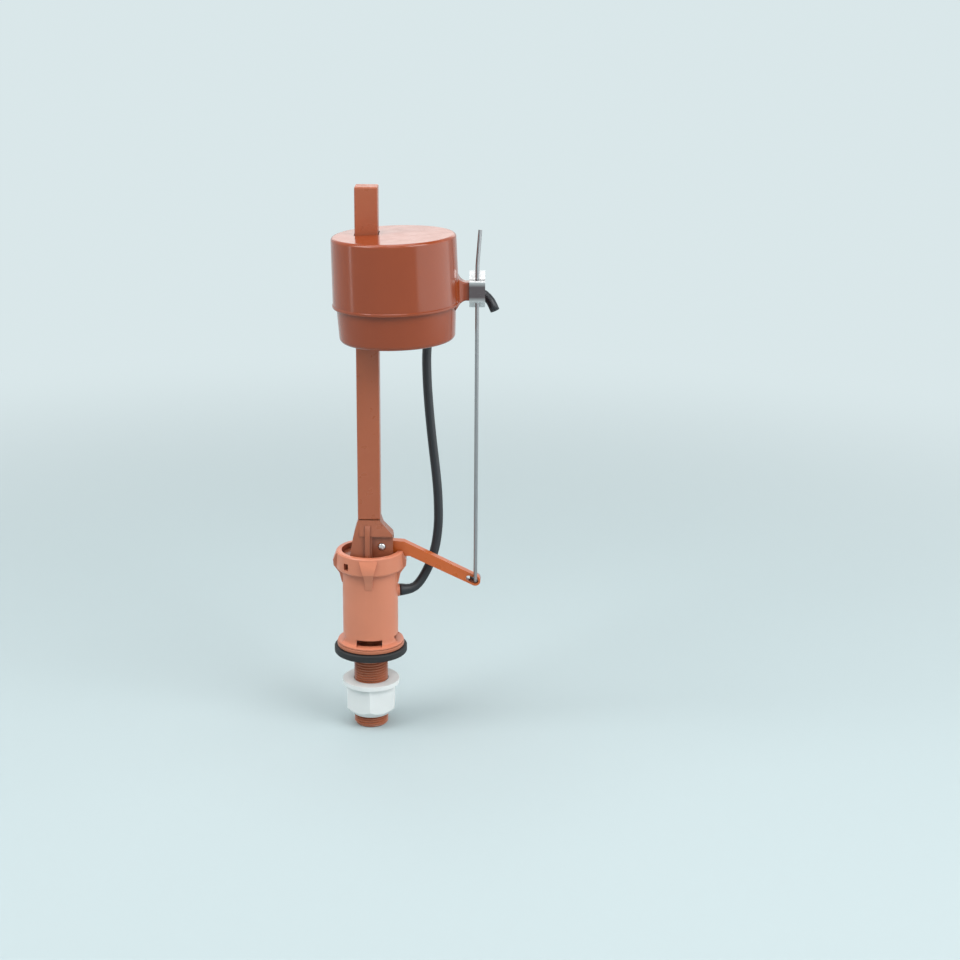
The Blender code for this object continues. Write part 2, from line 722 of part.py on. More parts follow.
def head_shell_tools():
    """The sloped skirt, the two cheeks, the hood, the front rib and the stub inside the mast."""
    slope = [
        (HEAD_FOOT_Z, SKIRT_FOOT_HALF),
        (HEAD_TOP_Z - SKIRT_CHEST_DROP, SKIRT_CHEST_HALF),
        (HEAD_TOP_Z - SKIRT_NECK_DROP, SKIRT_NECK_HALF),
    ]
    skirt = [(z, -half, half, -half, half) for z, half in slope]
    skirt.append((HEAD_TOP_Z, -MAST_HALF, MAST_HALF, -MAST_HALF, MAST_HALF))
    left = RIB_X - RIB_HALF_WIDTH
    right = RIB_X + RIB_HALF_WIDTH
    rib = [(z, left, right, -half - RIB_PROUD, 0) for z, half in slope]
    rib_top = MAST_HALF + (SKIRT_NECK_HALF - MAST_HALF) * RIB_TOP_DROP / SKIRT_NECK_DROP
    rib.append((HEAD_TOP_Z - RIB_TOP_DROP, left, right, -rib_top - FIT_GAP, 0))
    inner = MAST_HALF - OVERLAP
    hood = [
        (HOOD_Z, -inner, HOOD_REACH, -HOOD_FRONT, HOOD_BACK),
        (HOOD_Z + HOOD_SIDE, -inner, HOOD_REACH, -HOOD_FRONT, HOOD_BACK),
        (HOOD_Z + HOOD_SIDE + HOOD_SLOPE, -inner, MAST_HALF + OVERLAP, -MAST_HALF, HOOD_BACK),
    ]
    front_low = (-inner, -CHEEK_HALF_DEPTH, HEAD_FOOT_Z)
    front_high = (HOOD_REACH, HOOD_BACK, HOOD_Z + OVERLAP)
    back_low = (-inner, 0, HEAD_FOOT_Z)
    back_high = (HOOD_REACH, CHEEK_HALF_DEPTH, PIVOT_Z + CHEEK_RISE)
    stub_half = MAST_HALF - MAST_WALL - FIT_GAP
    low = (-stub_half, -stub_half, HEAD_TOP_Z - OVERLAP)
    high = (stub_half, stub_half, HEAD_TOP_Z + STUB_HEIGHT)
    return [
        tool("head_skirt", loft_mesh("head_skirt", skirt)),
        tool("front_cheek", box_mesh("front_cheek", front_low, front_high)),
        tool("back_cheek", box_mesh("back_cheek", back_low, back_high)),
        tool("head_hood", loft_mesh("head_hood", hood)),
        tool("head_rib", loft_mesh("head_rib", rib)),
        tool("head_stub", box_mesh("head_stub", low, high)),
    ]


def latch_tools():
    """Two lugs on the plug that stand in the shroud's latch windows."""
    half_width = LATCH_WIDTH / 2 - FIT_GAP
    half_height = LATCH_HEIGHT / 2 - FIT_GAP
    for angle in LATCH_ANGLES:
        low = (PLUG_RADIUS - OVERLAP, -half_width, LATCH_Z - half_height)
        high = (CROWN_BORE_RADIUS + OVERLAP, half_width, LATCH_Z + half_height)
        name = f"latch_lug_{angle:.0f}"
        yield tool(name, box_mesh(name, low, high), rotation=(0, 0, math.radians(angle)))


def head_cutters():
    slot_half = LEVER_HALF_THICKNESS + RUNNING_GAP
    slot_left = -NOSE_PAST - 2 * OVERLAP
    slot_low = (slot_left, -slot_half, SLOT_FLOOR_Z)
    slot_high = (GUSSET_RADIUS, slot_half, HOOD_Z)
    yield tool("lever_slot", box_mesh("lever_slot", slot_low, slot_high))
    outside = SKIRT_FOOT_HALF + RIB_PROUD + OVERLAP
    recesses = (
        ("front_recess", -outside, -CHEEK_HALF_DEPTH),
        ("back_recess", CHEEK_HALF_DEPTH, outside),
    )
    for name, near, far in recesses:
        low = (CHEEK_START, near, HEAD_FOOT_Z + OVERLAP)
        high = (GUSSET_RADIUS, far, HOOD_Z)
        yield tool(name, box_mesh(name, low, high))
    guide = [
        (0, PLUNGER_TOP_Z + OVERLAP),
        (GUIDE_RADIUS, PLUNGER_TOP_Z + OVERLAP),
        (GUIDE_RADIUS, CHAMBER_TOP_Z),
        (CHAMBER_RADIUS, CHAMBER_TOP_Z),
        (CHAMBER_RADIUS, SPIGOT_BOTTOM_Z - OVERLAP),
        (0, SPIGOT_BOTTOM_Z - OVERLAP),
    ]
    yield turned_tool("plunger_guide", guide)
    pin_hole = rod_profile(PIN_RADIUS + FIT_GAP, SKIRT_FOOT_HALF * 2, -SKIRT_FOOT_HALF * 2)
    yield turned_tool(
        "pin_hole",
        pin_hole,
        sides=SMALL_SIDES,
        location=(PIVOT_X, 0, PIVOT_Z),
        rotation=(math.radians(90), 0, 0),
    )


def make_head():
    """The plug sits on the crown's shelf, and its spigot fits the shroud's bore."""
    groove = SPIGOT_RADIUS - 2 * RING_SECTION_RADIUS - FIT_GAP
    profile = [
        (0, HEAD_FOOT_Z + OVERLAP),
        (PLUG_RADIUS, HEAD_FOOT_Z + OVERLAP),
        (PLUG_RADIUS, SHELF_Z + FIT_GAP),
        (SPIGOT_RADIUS, SHELF_Z + FIT_GAP),
        (SPIGOT_RADIUS, GROOVE_Z + GROOVE_HALF_HEIGHT),
        (groove, GROOVE_Z + GROOVE_HALF_HEIGHT),
        (groove, GROOVE_Z - GROOVE_HALF_HEIGHT),
        (SPIGOT_RADIUS, GROOVE_Z - GROOVE_HALF_HEIGHT),
        (SPIGOT_RADIUS, SPIGOT_BOTTOM_Z),
        (0, SPIGOT_BOTTOM_Z),
    ]
    head = turned_piece("valve_head", profile, HEAD_PLASTIC, closed=False)
    join(head, *head_shell_tools())
    join(head, *latch_tools())
    cut(head, *head_cutters())


def make_head_ring():
    centre = (SPIGOT_RADIUS - RING_SECTION_RADIUS, GROOVE_Z)
    section = arc(centre, RING_SECTION_RADIUS, 90, -210, ARC_STEPS)
    turned_piece("head_oring", section, RUBBER)


def make_mast():
    top = MAST_BOTTOM_Z + MAST_LENGTH
    low = (-MAST_HALF, -MAST_HALF, MAST_BOTTOM_Z)
    high = (MAST_HALF, MAST_HALF, top)
    mast = piece("mast", box_mesh("mast", low, high), MAST_PLASTIC)
    bevel(mast, MAST_EDGE, segments=2)
    inner = MAST_HALF - MAST_WALL
    low = (-inner, -inner, MAST_BOTTOM_Z - OVERLAP)
    high = (inner, inner, top - MAST_WALL)
    cut(mast, tool("mast_hollow", box_mesh("mast_hollow", low, high)))


# Pivot and lever


def make_pin():
    """The pin stands along Y: its own axis is +Z before it is laid down, head end first."""
    front = CHEEK_HALF_DEPTH + PIN_PROUD
    back = -CHEEK_HALF_DEPTH - CLIP_RING_HEIGHT - PIN_TAIL
    edge = PIN_RADIUS / 5
    profile = [
        (0, front),
        (PIN_RADIUS - edge, front),
        (PIN_RADIUS, front - edge),
        (PIN_RADIUS, back + edge),
        (PIN_RADIUS - edge, back),
        (0, back),
    ]
    laid = {"location": (PIVOT_X, 0, PIVOT_Z), "rotation": (math.radians(90), 0, 0)}
    turned_piece("pivot_pin", profile, STEEL, closed=False, sides=SMALL_SIDES, **laid)
    ring_top = -CHEEK_HALF_DEPTH - FIT_GAP
    bore = PIN_RADIUS + FIT_GAP
    ring = tube_profile(CLIP_RING_RADIUS, bore, ring_top, ring_top - CLIP_RING_HEIGHT)
    clip = turned_piece("pin_clip", ring, STEEL, sides=SMALL_SIDES, **laid)
    half = PIN_RADIUS / 2
    low = (-half, 0, ring_top - CLIP_RING_HEIGHT - OVERLAP)
    high = (half, CLIP_RING_RADIUS + OVERLAP, ring_top + OVERLAP)
    cut(clip, tool("pin_clip_gap", box_mesh("pin_clip_gap", low, high), **laid))


def tangent_point(point, centre, radius, side):
    """Where the tangent from a point touches a circle, above it for side 1 and below for side -1."""
    reach = math.dist(point, centre)
    toward = math.atan2(point[1] - centre[1], point[0] - centre[0])
    angle = toward - side * math.acos(radius / reach)
    return (centre[0] + radius * math.cos(angle), centre[1] + radius * math.sin(angle))


def lever_outlines():
    """The lever seen from the front, with the pivot at (0, 0)."""
    reach = ROD_X - PIVOT_X
    eye = Vector((reach, -EYE_DROP))
    eye_line = eye.normalized()
    rest = math.atan2(EYE_DROP, reach)
    raised = rest - math.radians(LEVER_SWING)
    inner_eye = eye_line * (reach / math.cos(raised))
    stop = NOTCH_Z + FIT_GAP - PIVOT_Z
    top_knee = (LEVER_KNEE_X, LEVER_KNEE_TOP)
    low_knee = (GUSSET_RADIUS + LEVER_LOW_KNEE_PAST - PIVOT_X, stop)
    top_touch = tangent_point(top_knee, eye, TIP_RADIUS, 1)
    low_touch = tangent_point(low_knee, eye, TIP_RADIUS, -1)
    start = math.degrees(math.atan2(top_touch[1] - eye.y, top_touch[0] - eye.x))
    end = math.degrees(math.atan2(low_touch[1] - eye.y, low_touch[0] - eye.x))
    nose_radius = (LEVER_TOP + NOSE_DROP) / 2
    nose_middle = (LEVER_TOP - NOSE_DROP) / 2
    nose_x = -PIVOT_X - NOSE_PAST + nose_radius
    edge = [top_knee]
    edge += arc(eye, TIP_RADIUS, start, end, 2 * ARC_STEPS)
    edge += [low_knee, (LEVER_HEEL, stop), (-PIN_RADIUS, -NOSE_DROP)]
    edge += arc((nose_x, nose_middle), nose_radius, 270, 90, 2 * ARC_STEPS)
    edge += [(PIN_RADIUS, LEVER_TOP)]
    pin_hole = arc((0, 0), PIN_RADIUS + FIT_GAP, 0, 360, HOLE_STEPS)[:-1]
    slope = math.degrees(math.atan2(eye_line.y, eye_line.x))
    slot = arc(eye, EYE_HALF_WIDTH, slope - 90, slope + 90, 2 * ARC_STEPS)
    slot += arc(inner_eye, EYE_HALF_WIDTH, slope + 90, slope + 270, 2 * ARC_STEPS)
    return [edge, pin_hole, slot]


def make_lever():
    mesh = plate_mesh("lever", lever_outlines(), LEVER_HALF_THICKNESS)
    piece("lever", mesh, LEVER_PLASTIC, location=(PIVOT_X, 0, PIVOT_Z))


# Seat and plunger


def make_seat_ring():
    bottom = RISER_TOP_Z - SEAT_RING_HEIGHT
    lip = SEAT_BORE_RADIUS + SEAT_LIP_WALL
    profile = [
        (SEAT_BORE_RADIUS, SEAT_LIP_Z),
        (lip, SEAT_LIP_Z),
        (lip, RISER_TOP_Z),
        (SEAT_RING_RADIUS, RISER_TOP_Z),
        (SEAT_RING_RADIUS, bottom),
        (SEAT_BORE_RADIUS, bottom),
    ]
    turned_piece("seat_ring", profile, BRASS)


def make_plunger():
    """The stem's top is round, so the lever's nose can roll on it."""
    foot = PLUNGER_FOOT_Z
    flange = foot + PLUNGER_FLANGE_HEIGHT
    shoulder = PLUNGER_TOP_Z - PLUNGER_RADIUS
    groove_half = PLUNGER_RING_RADIUS + FIT_GAP
    groove = PLUNGER_RADIUS - 2 * PLUNGER_RING_RADIUS - FIT_GAP
    groove_z = PLUNGER_GROOVE_Z
    nub = WASHER_BOTTOM_Z + WASHER_HEIGHT / 4
    profile = arc((0, shoulder), PLUNGER_RADIUS, 90, 0, ARC_STEPS)
    profile[0] = (0, PLUNGER_TOP_Z)
    profile += [
        (PLUNGER_RADIUS, groove_z + groove_half),
        (groove, groove_z + groove_half),
        (groove, groove_z - groove_half),
        (PLUNGER_RADIUS, groove_z - groove_half),
        (PLUNGER_RADIUS, flange),
        (WASHER_RADIUS, flange),
        (WASHER_RADIUS, foot),
        (PLUNGER_NUB_RADIUS, foot),
        (PLUNGER_NUB_RADIUS, nub),
        (0, nub),
    ]
    turned_piece("plunger", profile, NUT_PLASTIC, closed=False, sides=SMALL_SIDES)


def make_plunger_ring():
    centre = (PLUNGER_RADIUS - PLUNGER_RING_RADIUS, PLUNGER_GROOVE_Z)
    section = arc(centre, PLUNGER_RING_RADIUS, 90, -210, ARC_STEPS)
    turned_piece("plunger_oring", section, RUBBER, sides=SMALL_SIDES)


def make_washer():
    hole = PLUNGER_NUB_RADIUS + FIT_GAP
    profile = tube_profile(WASHER_RADIUS, hole, WASHER_BOTTOM_Z + WASHER_HEIGHT, WASHER_BOTTOM_Z)
    turned_piece("seat_washer", profile, RUBBER, sides=SMALL_SIDES)


# Lift rod


def make_rod():
    """A wire with a foot through the lever's eye and a slight lean at its top."""
    keeper_back = LEVER_HALF_THICKNESS + FIT_GAP + KEEPER_HEIGHT
    foot_end = keeper_back + FOOT_PAST_KEEPER
    top = EYE_Z + ROD_HEIGHT
    bend = ROD_BEND_RADIUS
    points = [(ROD_X, foot_end, EYE_Z)]
    for y, z in arc((ROD_Y + bend, EYE_Z + bend), bend, 270, 180, ARC_STEPS):
        points.append((ROD_X, y, z))
    points.append((ROD_X, ROD_Y, top - ROD_TAIL_LENGTH))
    points.append((ROD_X + ROD_TAIL_LEAN, ROD_Y, top))
    curve = wire_curve("link_rod", points, ROD_RADIUS, 2)
    curve.transform(Matrix.Translation((-ROD_X, -ROD_Y, 0)))
    piece("link_rod", curve, STEEL, location=(ROD_X, ROD_Y, 0))
    laid = {"location": (ROD_X, 0, EYE_Z), "rotation": (math.radians(90), 0, 0)}
    front = -LEVER_HALF_THICKNESS - FIT_GAP
    ring = tube_profile(KEEPER_RADIUS, ROD_HOLE_RADIUS, front, front - KEEPER_HEIGHT)
    turned_piece("rod_keeper", ring, STEEL, sides=SMALL_SIDES, **laid)


# Float


def float_place():
    return {
        "location": (FLOAT_X, FLOAT_Y, FLOAT_SEAM_Z),
        "rotation": (0, math.radians(-FLOAT_LEAN), 0),
    }


def tunnel_tools(name, bottom, top):
    """The square sleeve round the mast, and the hole through it."""
    low = (-SLEEVE_HALF, -SLEEVE_HALF, bottom)
    high = (SLEEVE_HALF, SLEEVE_HALF, top)
    sleeve = tool(name + "_sleeve", box_mesh(name + "_sleeve", low, high))
    past = SLEEVE_HALF
    low = (-TUNNEL_HALF, -TUNNEL_HALF, bottom - past)
    high = (TUNNEL_HALF, TUNNEL_HALF, top + past)
    hole = tool(name + "_tunnel", box_mesh(name + "_tunnel", low, high))
    return sleeve, hole


def lean_rise(x):
    """How far the leaning float's planes stand above their centre at this x."""
    return (x - FLOAT_X) * math.tan(math.radians(FLOAT_LEAN))


def make_float_cap():
    corner = (CAP_TOP_RADIUS - CAP_EDGE, CAP_HEIGHT - CAP_EDGE)
    profile = [(0, CAP_HEIGHT)]
    profile += arc(corner, CAP_EDGE, 90, 0, ARC_STEPS)
    profile += [
        (CAP_RIM_RADIUS, 0),
        (CAP_RIM_RADIUS - FLOAT_WALL, 0),
        (CAP_TOP_RADIUS - FLOAT_WALL, CAP_HEIGHT - FLOAT_WALL),
        (0, CAP_HEIGHT - FLOAT_WALL),
    ]
    cap = turned_piece("float_cap", profile, FLOAT_PLASTIC, closed=False, **float_place())
    lug_x = FLOAT_X + CAP_RIM_RADIUS - FLOAT_WALL + FIT_GAP
    low = (lug_x, ROD_Y - LUG_HALF_WIDTH, LUG_BOTTOM_Z)
    high = (ROD_X + LUG_PAST_ROD, ROD_Y + LUG_HALF_WIDTH, LUG_BOTTOM_Z + LUG_HEIGHT)
    lug = tool("float_lug", box_mesh("float_lug", low, high))
    bevel(lug, LUG_EDGE)
    sleeve_bottom = FLOAT_SEAM_Z + CUP_LAP + FIT_GAP
    sleeve_top = FLOAT_SEAM_Z + CAP_HEIGHT - FLOAT_WALL / 2 + lean_rise(0)
    sleeve, tunnel = tunnel_tools("cap", sleeve_bottom, sleeve_top)
    join(cap, lug, sleeve)
    rod_hole = rod_profile(ROD_HOLE_RADIUS, LUG_HEIGHT + OVERLAP, -OVERLAP)
    place = {"location": (ROD_X, ROD_Y, LUG_BOTTOM_Z)}
    cut(cap, tunnel, turned_tool("lug_hole", rod_hole, sides=SMALL_SIDES, **place))


def make_float_cup():
    """The lower cup laps inside the cap, and a bead round its top fills the cap's rim."""
    bottom = -CUP_HEIGHT
    bead = CAP_RIM_RADIUS - FLOAT_WALL - FIT_GAP
    bead -= CAP_DRAFT * CUP_LAP / CAP_HEIGHT
    corner = (CUP_FOOT_RADIUS - CUP_EDGE, bottom + CUP_EDGE)
    profile = [
        (0, bottom + FLOAT_WALL),
        (CUP_FOOT_RADIUS - FLOAT_WALL, bottom + FLOAT_WALL),
        (CUP_TOP_RADIUS - FLOAT_WALL, CUP_LAP),
        (bead, CUP_LAP),
        (bead, CUP_LAP - CUP_BEAD_HEIGHT),
        (CUP_TOP_RADIUS, CUP_LAP - CUP_BEAD_HEIGHT),
    ]
    profile += arc(corner, CUP_EDGE, 0, -90, ARC_STEPS)
    profile.append((0, bottom))
    cup = turned_piece("float_cup", profile, FLOAT_PLASTIC, closed=False, **float_place())
    sleeve_bottom = FLOAT_SEAM_Z + bottom + FLOAT_WALL / 2 + lean_rise(0)
    sleeve, tunnel = tunnel_tools("cup", sleeve_bottom, FLOAT_SEAM_Z + CUP_LAP)
    join(cup, sleeve)
    cut(cup, tunnel)


def make_adjust_clip():
    """A spring strip bent round the front of the float's lug, with an ear at each end."""
    gap = FIT_GAP
    front = ROD_Y - LUG_HALF_WIDTH - gap
    back = ROD_Y + LUG_HALF_WIDTH - OVERLAP
    top = LUG_BOTTOM_Z + LUG_HEIGHT + gap
    bottom = LUG_BOTTOM_Z - gap
    bends = [
        (back + SPRING_EAR_REACH, top + SPRING_EAR_RISE),
        (back, top),
        (front, top),
        (front, bottom),
        (back, bottom),
        (back + SPRING_EAR_REACH, bottom - SPRING_EAR_RISE),
    ]
    half = SPRING_WIDTH / 2
    mesh = bpy.data.meshes.new("adjust_clip")
    verts = [(side, y - ROD_Y, z) for side in (-half, half) for y, z in bends]
    count = len(bends)
    faces = [(i, i + 1, i + 1 + count, i + count) for i in range(count - 1)]
    mesh.from_pydata(verts, [], faces)
    clip = piece("adjust_clip", mesh, STEEL, location=(ROD_X, ROD_Y, 0))
    strip = clip.modifiers.new("Strip", "SOLIDIFY")
    strip.thickness = SPRING_THICKNESS
    strip.offset = 1.0
    strip.use_even_offset = True
    hole = rod_profile(ROD_HOLE_RADIUS, top + 2 * SPRING_THICKNESS, bottom - 2 * SPRING_THICKNESS)
    place = {"location": (ROD_X, ROD_Y, 0)}
    cut(clip, turned_tool("clip_hole", hole, sides=SMALL_SIDES, **place))


# Hose


def smooth_route(before, points):
    """Points at an even spacing on a smooth curve through the route, which comes from a point before it."""
    ends = [before] + points + [2 * points[-1] - points[-2]]
    fine = []
    for a, b, c, d in zip(ends, ends[1:], ends[2:], ends[3:]):
        for i in range(CURVE_STEPS):
            t = i / CURVE_STEPS
            bend = (2 * a - 5 * b + 4 * c - d) * t * t + (3 * b - a - 3 * c + d) * t * t * t
            fine.append(b + ((c - a) * t + bend) / 2)
    fine.append(points[-1])
    spaced = [fine[0]]
    for point in fine[1:-1]:
        if (point - spaced[-1]).length >= HOSE_POINT_SPACING:
            spaced.append(point)
    if (fine[-1] - spaced[-1]).length < HOSE_POINT_SPACING / 2:
        spaced.pop()
    return spaced + [fine[-1]]


def make_hose():
    """The hose starts as a wide cuff over the nipple and ends open."""
    start = about_axis(NIPPLE_ANGLE, NIPPLE_START + FIT_GAP, 0, NIPPLE_HEIGHT)
    cuff_end = about_axis(NIPPLE_ANGLE, NIPPLE_START + NIPPLE_LENGTH, 0, NIPPLE_HEIGHT)
    run = smooth_route(start, [cuff_end] + [Vector(point) for point in HOSE_ROUTE])
    points = [start] + run
    radii = [CUFF_RADIUS / HOSE_RADIUS] * 2 + [1.0] * (len(points) - 2)
    curve = wire_curve("refill_hose_route", points, HOSE_RADIUS, 3, radii)
    length = sum((b - a).length for a, b in zip(points, points[1:]))
    print(f"refill hose length {length * 1000:.0f} mm")
    hose = piece("refill_hose", mesh_of(tool("refill_hose_route", curve)), HOSE_RUBBER)
    socket_end = NIPPLE_START + NIPPLE_LENGTH + FIT_GAP
    socket = rod_profile(CUFF_BORE_RADIUS, socket_end, NIPPLE_START - OVERLAP)
    cut(hose, turned_tool("hose_socket", socket, sides=SMALL_SIDES, **nipple_place()))
    way_in = (points[-2] - points[-1]).normalized()
    mouth = rod_profile(HOSE_BORE_RADIUS, HOSE_END_BORE_DEPTH, -OVERLAP)
    bore = turned_tool("hose_mouth", mouth, sides=SMALL_SIDES, location=points[-1])
    bore.rotation_euler = way_in.to_track_quat("Z", "Y").to_euler()
    cut(hose, bore)


clear_scene()
PARTS = new_collection("toilet_fill_valve")
CUTTERS = new_collection("cutters")
BODY_PLASTIC = finish("body_plastic", (0.55, 0.24, 0.15), 0.4)
SHROUD_PLASTIC = finish("shroud_plastic", (0.62, 0.27, 0.17), 0.4)
HEAD_PLASTIC = finish("head_plastic", (0.30, 0.10, 0.05), 0.4)
MAST_PLASTIC = finish("mast_plastic", (0.40, 0.13, 0.07), 0.35)
LEVER_PLASTIC = finish("lever_plastic", (0.55, 0.13, 0.03), 0.4)
FLOAT_PLASTIC = finish("float_plastic", (0.36, 0.11, 0.05), 0.25)
NUT_PLASTIC = finish("nut_plastic", (0.85, 0.85, 0.83), 0.45)
RUBBER = finish("rubber", (0.02, 0.02, 0.02), 0.7)
HOSE_RUBBER = finish("hose_rubber", (0.02, 0.02, 0.025), 0.5)
STEEL = finish("steel", (0.6, 0.6, 0.6), 0.3, 1.0)
BRASS = finish("brass", (0.7, 0.5, 0.2), 0.35, 1.0)
make_shank()
make_gasket()
make_lock_nut()
make_inlet_screen()
make_shroud()
make_head()
make_head_ring()
make_mast()
make_pin()
make_lever()
make_seat_ring()
make_plunger()
make_plunger_ring()
make_washer()
make_rod()
make_float_cap()
make_float_cup()
make_adjust_clip()
make_hose()
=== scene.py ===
"""Toilet fill valve: finishes, hose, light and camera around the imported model. Metres, +Z up."""

import math

import bmesh
import bpy
from mathutils import Matrix, Vector


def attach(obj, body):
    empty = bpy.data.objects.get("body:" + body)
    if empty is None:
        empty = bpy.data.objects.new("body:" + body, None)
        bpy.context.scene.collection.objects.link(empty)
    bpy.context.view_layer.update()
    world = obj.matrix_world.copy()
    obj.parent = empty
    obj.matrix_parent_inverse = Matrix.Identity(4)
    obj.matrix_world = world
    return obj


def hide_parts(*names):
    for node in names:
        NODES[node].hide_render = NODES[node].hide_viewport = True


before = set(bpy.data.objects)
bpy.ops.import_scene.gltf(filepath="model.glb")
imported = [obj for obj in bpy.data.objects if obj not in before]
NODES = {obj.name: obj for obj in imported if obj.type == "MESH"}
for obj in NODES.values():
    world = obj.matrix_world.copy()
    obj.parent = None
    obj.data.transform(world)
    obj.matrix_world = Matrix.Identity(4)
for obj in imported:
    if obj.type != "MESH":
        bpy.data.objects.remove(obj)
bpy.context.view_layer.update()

# Camera, read back from the photo's own perspective
PICTURE_SIZE = 960
FOCAL_PIXELS = 1900.0
SENSOR_WIDTH = 36.0
CAMERA_PITCH = math.radians(16.7)
CAMERA_ROLL = math.radians(0.42)
CAMERA_PLACE = (0.07097, -1.16631, 0.46735)
CAMERA_NEAR = 0.01
CAMERA_FAR = 50.0

# Round studio, whose floor turns into one pale colour far from the valve
FLOOR_Z = -0.0508
FLOOR_MIDDLE = 0.6
STUDIO_RADIUS = 2.2
STUDIO_TOP = 2.4
STUDIO_SIDES = 128
COVE_RADIUS = 0.8
COVE_STEPS = 16
FLOOR_COLOUR = (0.47, 0.55, 0.565, 1.0)
FLOOR_ROUGHNESS = 0.85
BACKDROP_COLOUR = (0.70, 0.80, 0.82, 1.0)
BACKDROP_NEAR = 0.3
BACKDROP_FAR = 1.1

# Light: the point that the softboxes face, and the faint glow of the room
SOFTBOX_AIM = (0.03, 0.0, 0.15)
ROOM_COLOUR = (0.80, 0.92, 0.95, 1.0)
ROOM_STRENGTH = 0.15

# Refill hose, on the same route as its solid
NIPPLE_ANGLE = math.radians(12.0)
NIPPLE_Z = 0.041
HOSE_START_REACH = 0.0192
CUFF_END_REACH = 0.0239
CUFF_RADIUS = 0.004
CUFF_TAPER = (1.0, 1.0, 0.96, 0.92, 0.86, 0.8)
CUFF_STEPS = 4
HOSE_RADIUS = 0.003
HOSE_BORE_RADIUS = 0.002
HOSE_BORE_DEPTH = 0.012
HOSE_STEP = 0.003
HOSE_SIDES = 24
CURVE_STEPS = 32
HOSE_ROUTE = (
    (0.0283, 0.0066, 0.0420),
    (0.0324, 0.0090, 0.0456),
    (0.0363, 0.0120, 0.0517),
    (0.0396, 0.0150, 0.0588),
    (0.0418, 0.0175, 0.0662),
    (0.0432, 0.0196, 0.0745),
    (0.0439, 0.0214, 0.0860),
    (0.0433, 0.0240, 0.1025),
    (0.0418, 0.0265, 0.1175),
    (0.0394, 0.0295, 0.1377),
    (0.0374, 0.0320, 0.1579),
    (0.0361, 0.0345, 0.1773),
    (0.0360, 0.0365, 0.1941),
    (0.0380, 0.0375, 0.2095),
    (0.0435, 0.0360, 0.2225),
    (0.0520, 0.0325, 0.2315),
    (0.0620, 0.0275, 0.2355),
    (0.0710, 0.0230, 0.2345),
    (0.0765, 0.0190, 0.2305),
    (0.0797, 0.0165, 0.2245),
)

# Float, in its own leaning frame at the seam between cap and cup
FLOAT_PLACE = (0.0183, -0.008, 0.2328)
FLOAT_LEAN = math.radians(-2.0)
FLOAT_WALL = 0.0014
FLOAT_SIDES = 128
FLOAT_EDGE_STEPS = 8
CAP_RIM_RADIUS = 0.0392
CAP_TOP_RADIUS = 0.0386
CAP_HEIGHT = 0.0436
CAP_EDGE = 0.0022
RIM_EDGE = 0.0006
RIM_EDGE_STEPS = 4
RIM_BEAD = 0.0004
RIM_BEAD_HEIGHT = 0.0016
CUP_TOP_RADIUS = 0.0373
CUP_FOOT_RADIUS = 0.0361
CUP_HEIGHT = 0.0218
CUP_EDGE = 0.003
CUP_LAP = 0.004

# Square sleeve through the float, and the tunnel in it that the mast fills
SLEEVE_HALF = 0.0103
SLEEVE_CORNER = 0.001
SLEEVE_GAP = 0.0003
TUNNEL_HALF = 0.0077
TUNNEL_CORNER = 0.0008
TUNNEL_PAST = 0.02
CORNER_STEPS = 4

# Threaded shank with its flange, riser and bore
SHANK_SIDES = 64
SHANK_RADIUS = 0.0111
SHANK_CHAMFER = 0.0014
NECK_RADIUS = 0.0115
FLANGE_BOTTOM = 0.0051
FLANGE_TOP = 0.0075
FLANGE_RADIUS = 0.0219
FLANGE_EDGE = 0.0004
FLANGE_EDGE_STEPS = 3
RISER_RADIUS = 0.0092
RISER_TOP = 0.052
SEAT_SOCKET_RADIUS = 0.0077
SEAT_SOCKET_FLOOR = 0.0477
SHANK_BORE_RADIUS = 0.0062
SCREEN_POCKET_RADIUS = 0.0072
SCREEN_POCKET_TOP = -0.0435

# Screw thread, whose shape gives shares of the pitch and of the depth over one turn
THREAD_PITCH = 0.001814
THREAD_DEPTH = 0.001
THREAD_CORE = 0.0098
THREAD_TOP = -0.0012
THREAD_BOTTOM = FLOOR_Z
THREAD_SHAPE = ((0.0, 0.0), (0.25, 0.0), (0.5625, 1.0), (0.6875, 1.0))

# Lug on the float, whose sections give a place along X and how far it flares there
ROD_X = 0.0684
ROD_Y = -0.0046
ROD_HOLE_RADIUS = 0.0015
ROD_HOLE_SIDES = 24
LUG_BOTTOM = 0.2356
LUG_TOP = 0.2471
LUG_MIDDLE = (LUG_BOTTOM + LUG_TOP) / 2
LUG_HALF_WIDTH = 0.0045
LUG_ROUND = 0.0012
LUG_HOLE_PAST = 0.01
LUG_SECTIONS = (
    (0.0552, 0.0052),
    (0.0562, 0.0040),
    (0.0571, 0.0027),
    (0.0581, 0.0015),
    (0.0594, 0.0006),
    (0.0610, 0.0),
    (0.0720, 0.0),
    (0.0726, -0.0006),
)

# Spring clip on the lug, with a painted highlight towards its ears
SPRING_GAP = 0.0003
SPRING_THICKNESS = 0.0008
SPRING_HALF_WIDTH = 0.0049
SPRING_BEND = 0.0007
SPRING_BEND_STEPS = 5
SPRING_EAR_REACH = 0.0026
SPRING_EAR_RISE = 0.005
SPRING_BACK = -0.0011
SPRING_HOLE_PAST = 0.001
SPRING_HIGHLIGHT_COLOUR = (0.60, 0.60, 0.60, 1.0)
SPRING_HIGHLIGHT_FROM = 0.0032
SPRING_HIGHLIGHT_TO = 0.006

# Edges and shading of the pieces
CRISP_ANGLE = math.radians(40.0)
EDGE_ANGLE = math.radians(35.0)
EDGE_SEGMENTS = 2
WELD_REACH = 1e-6

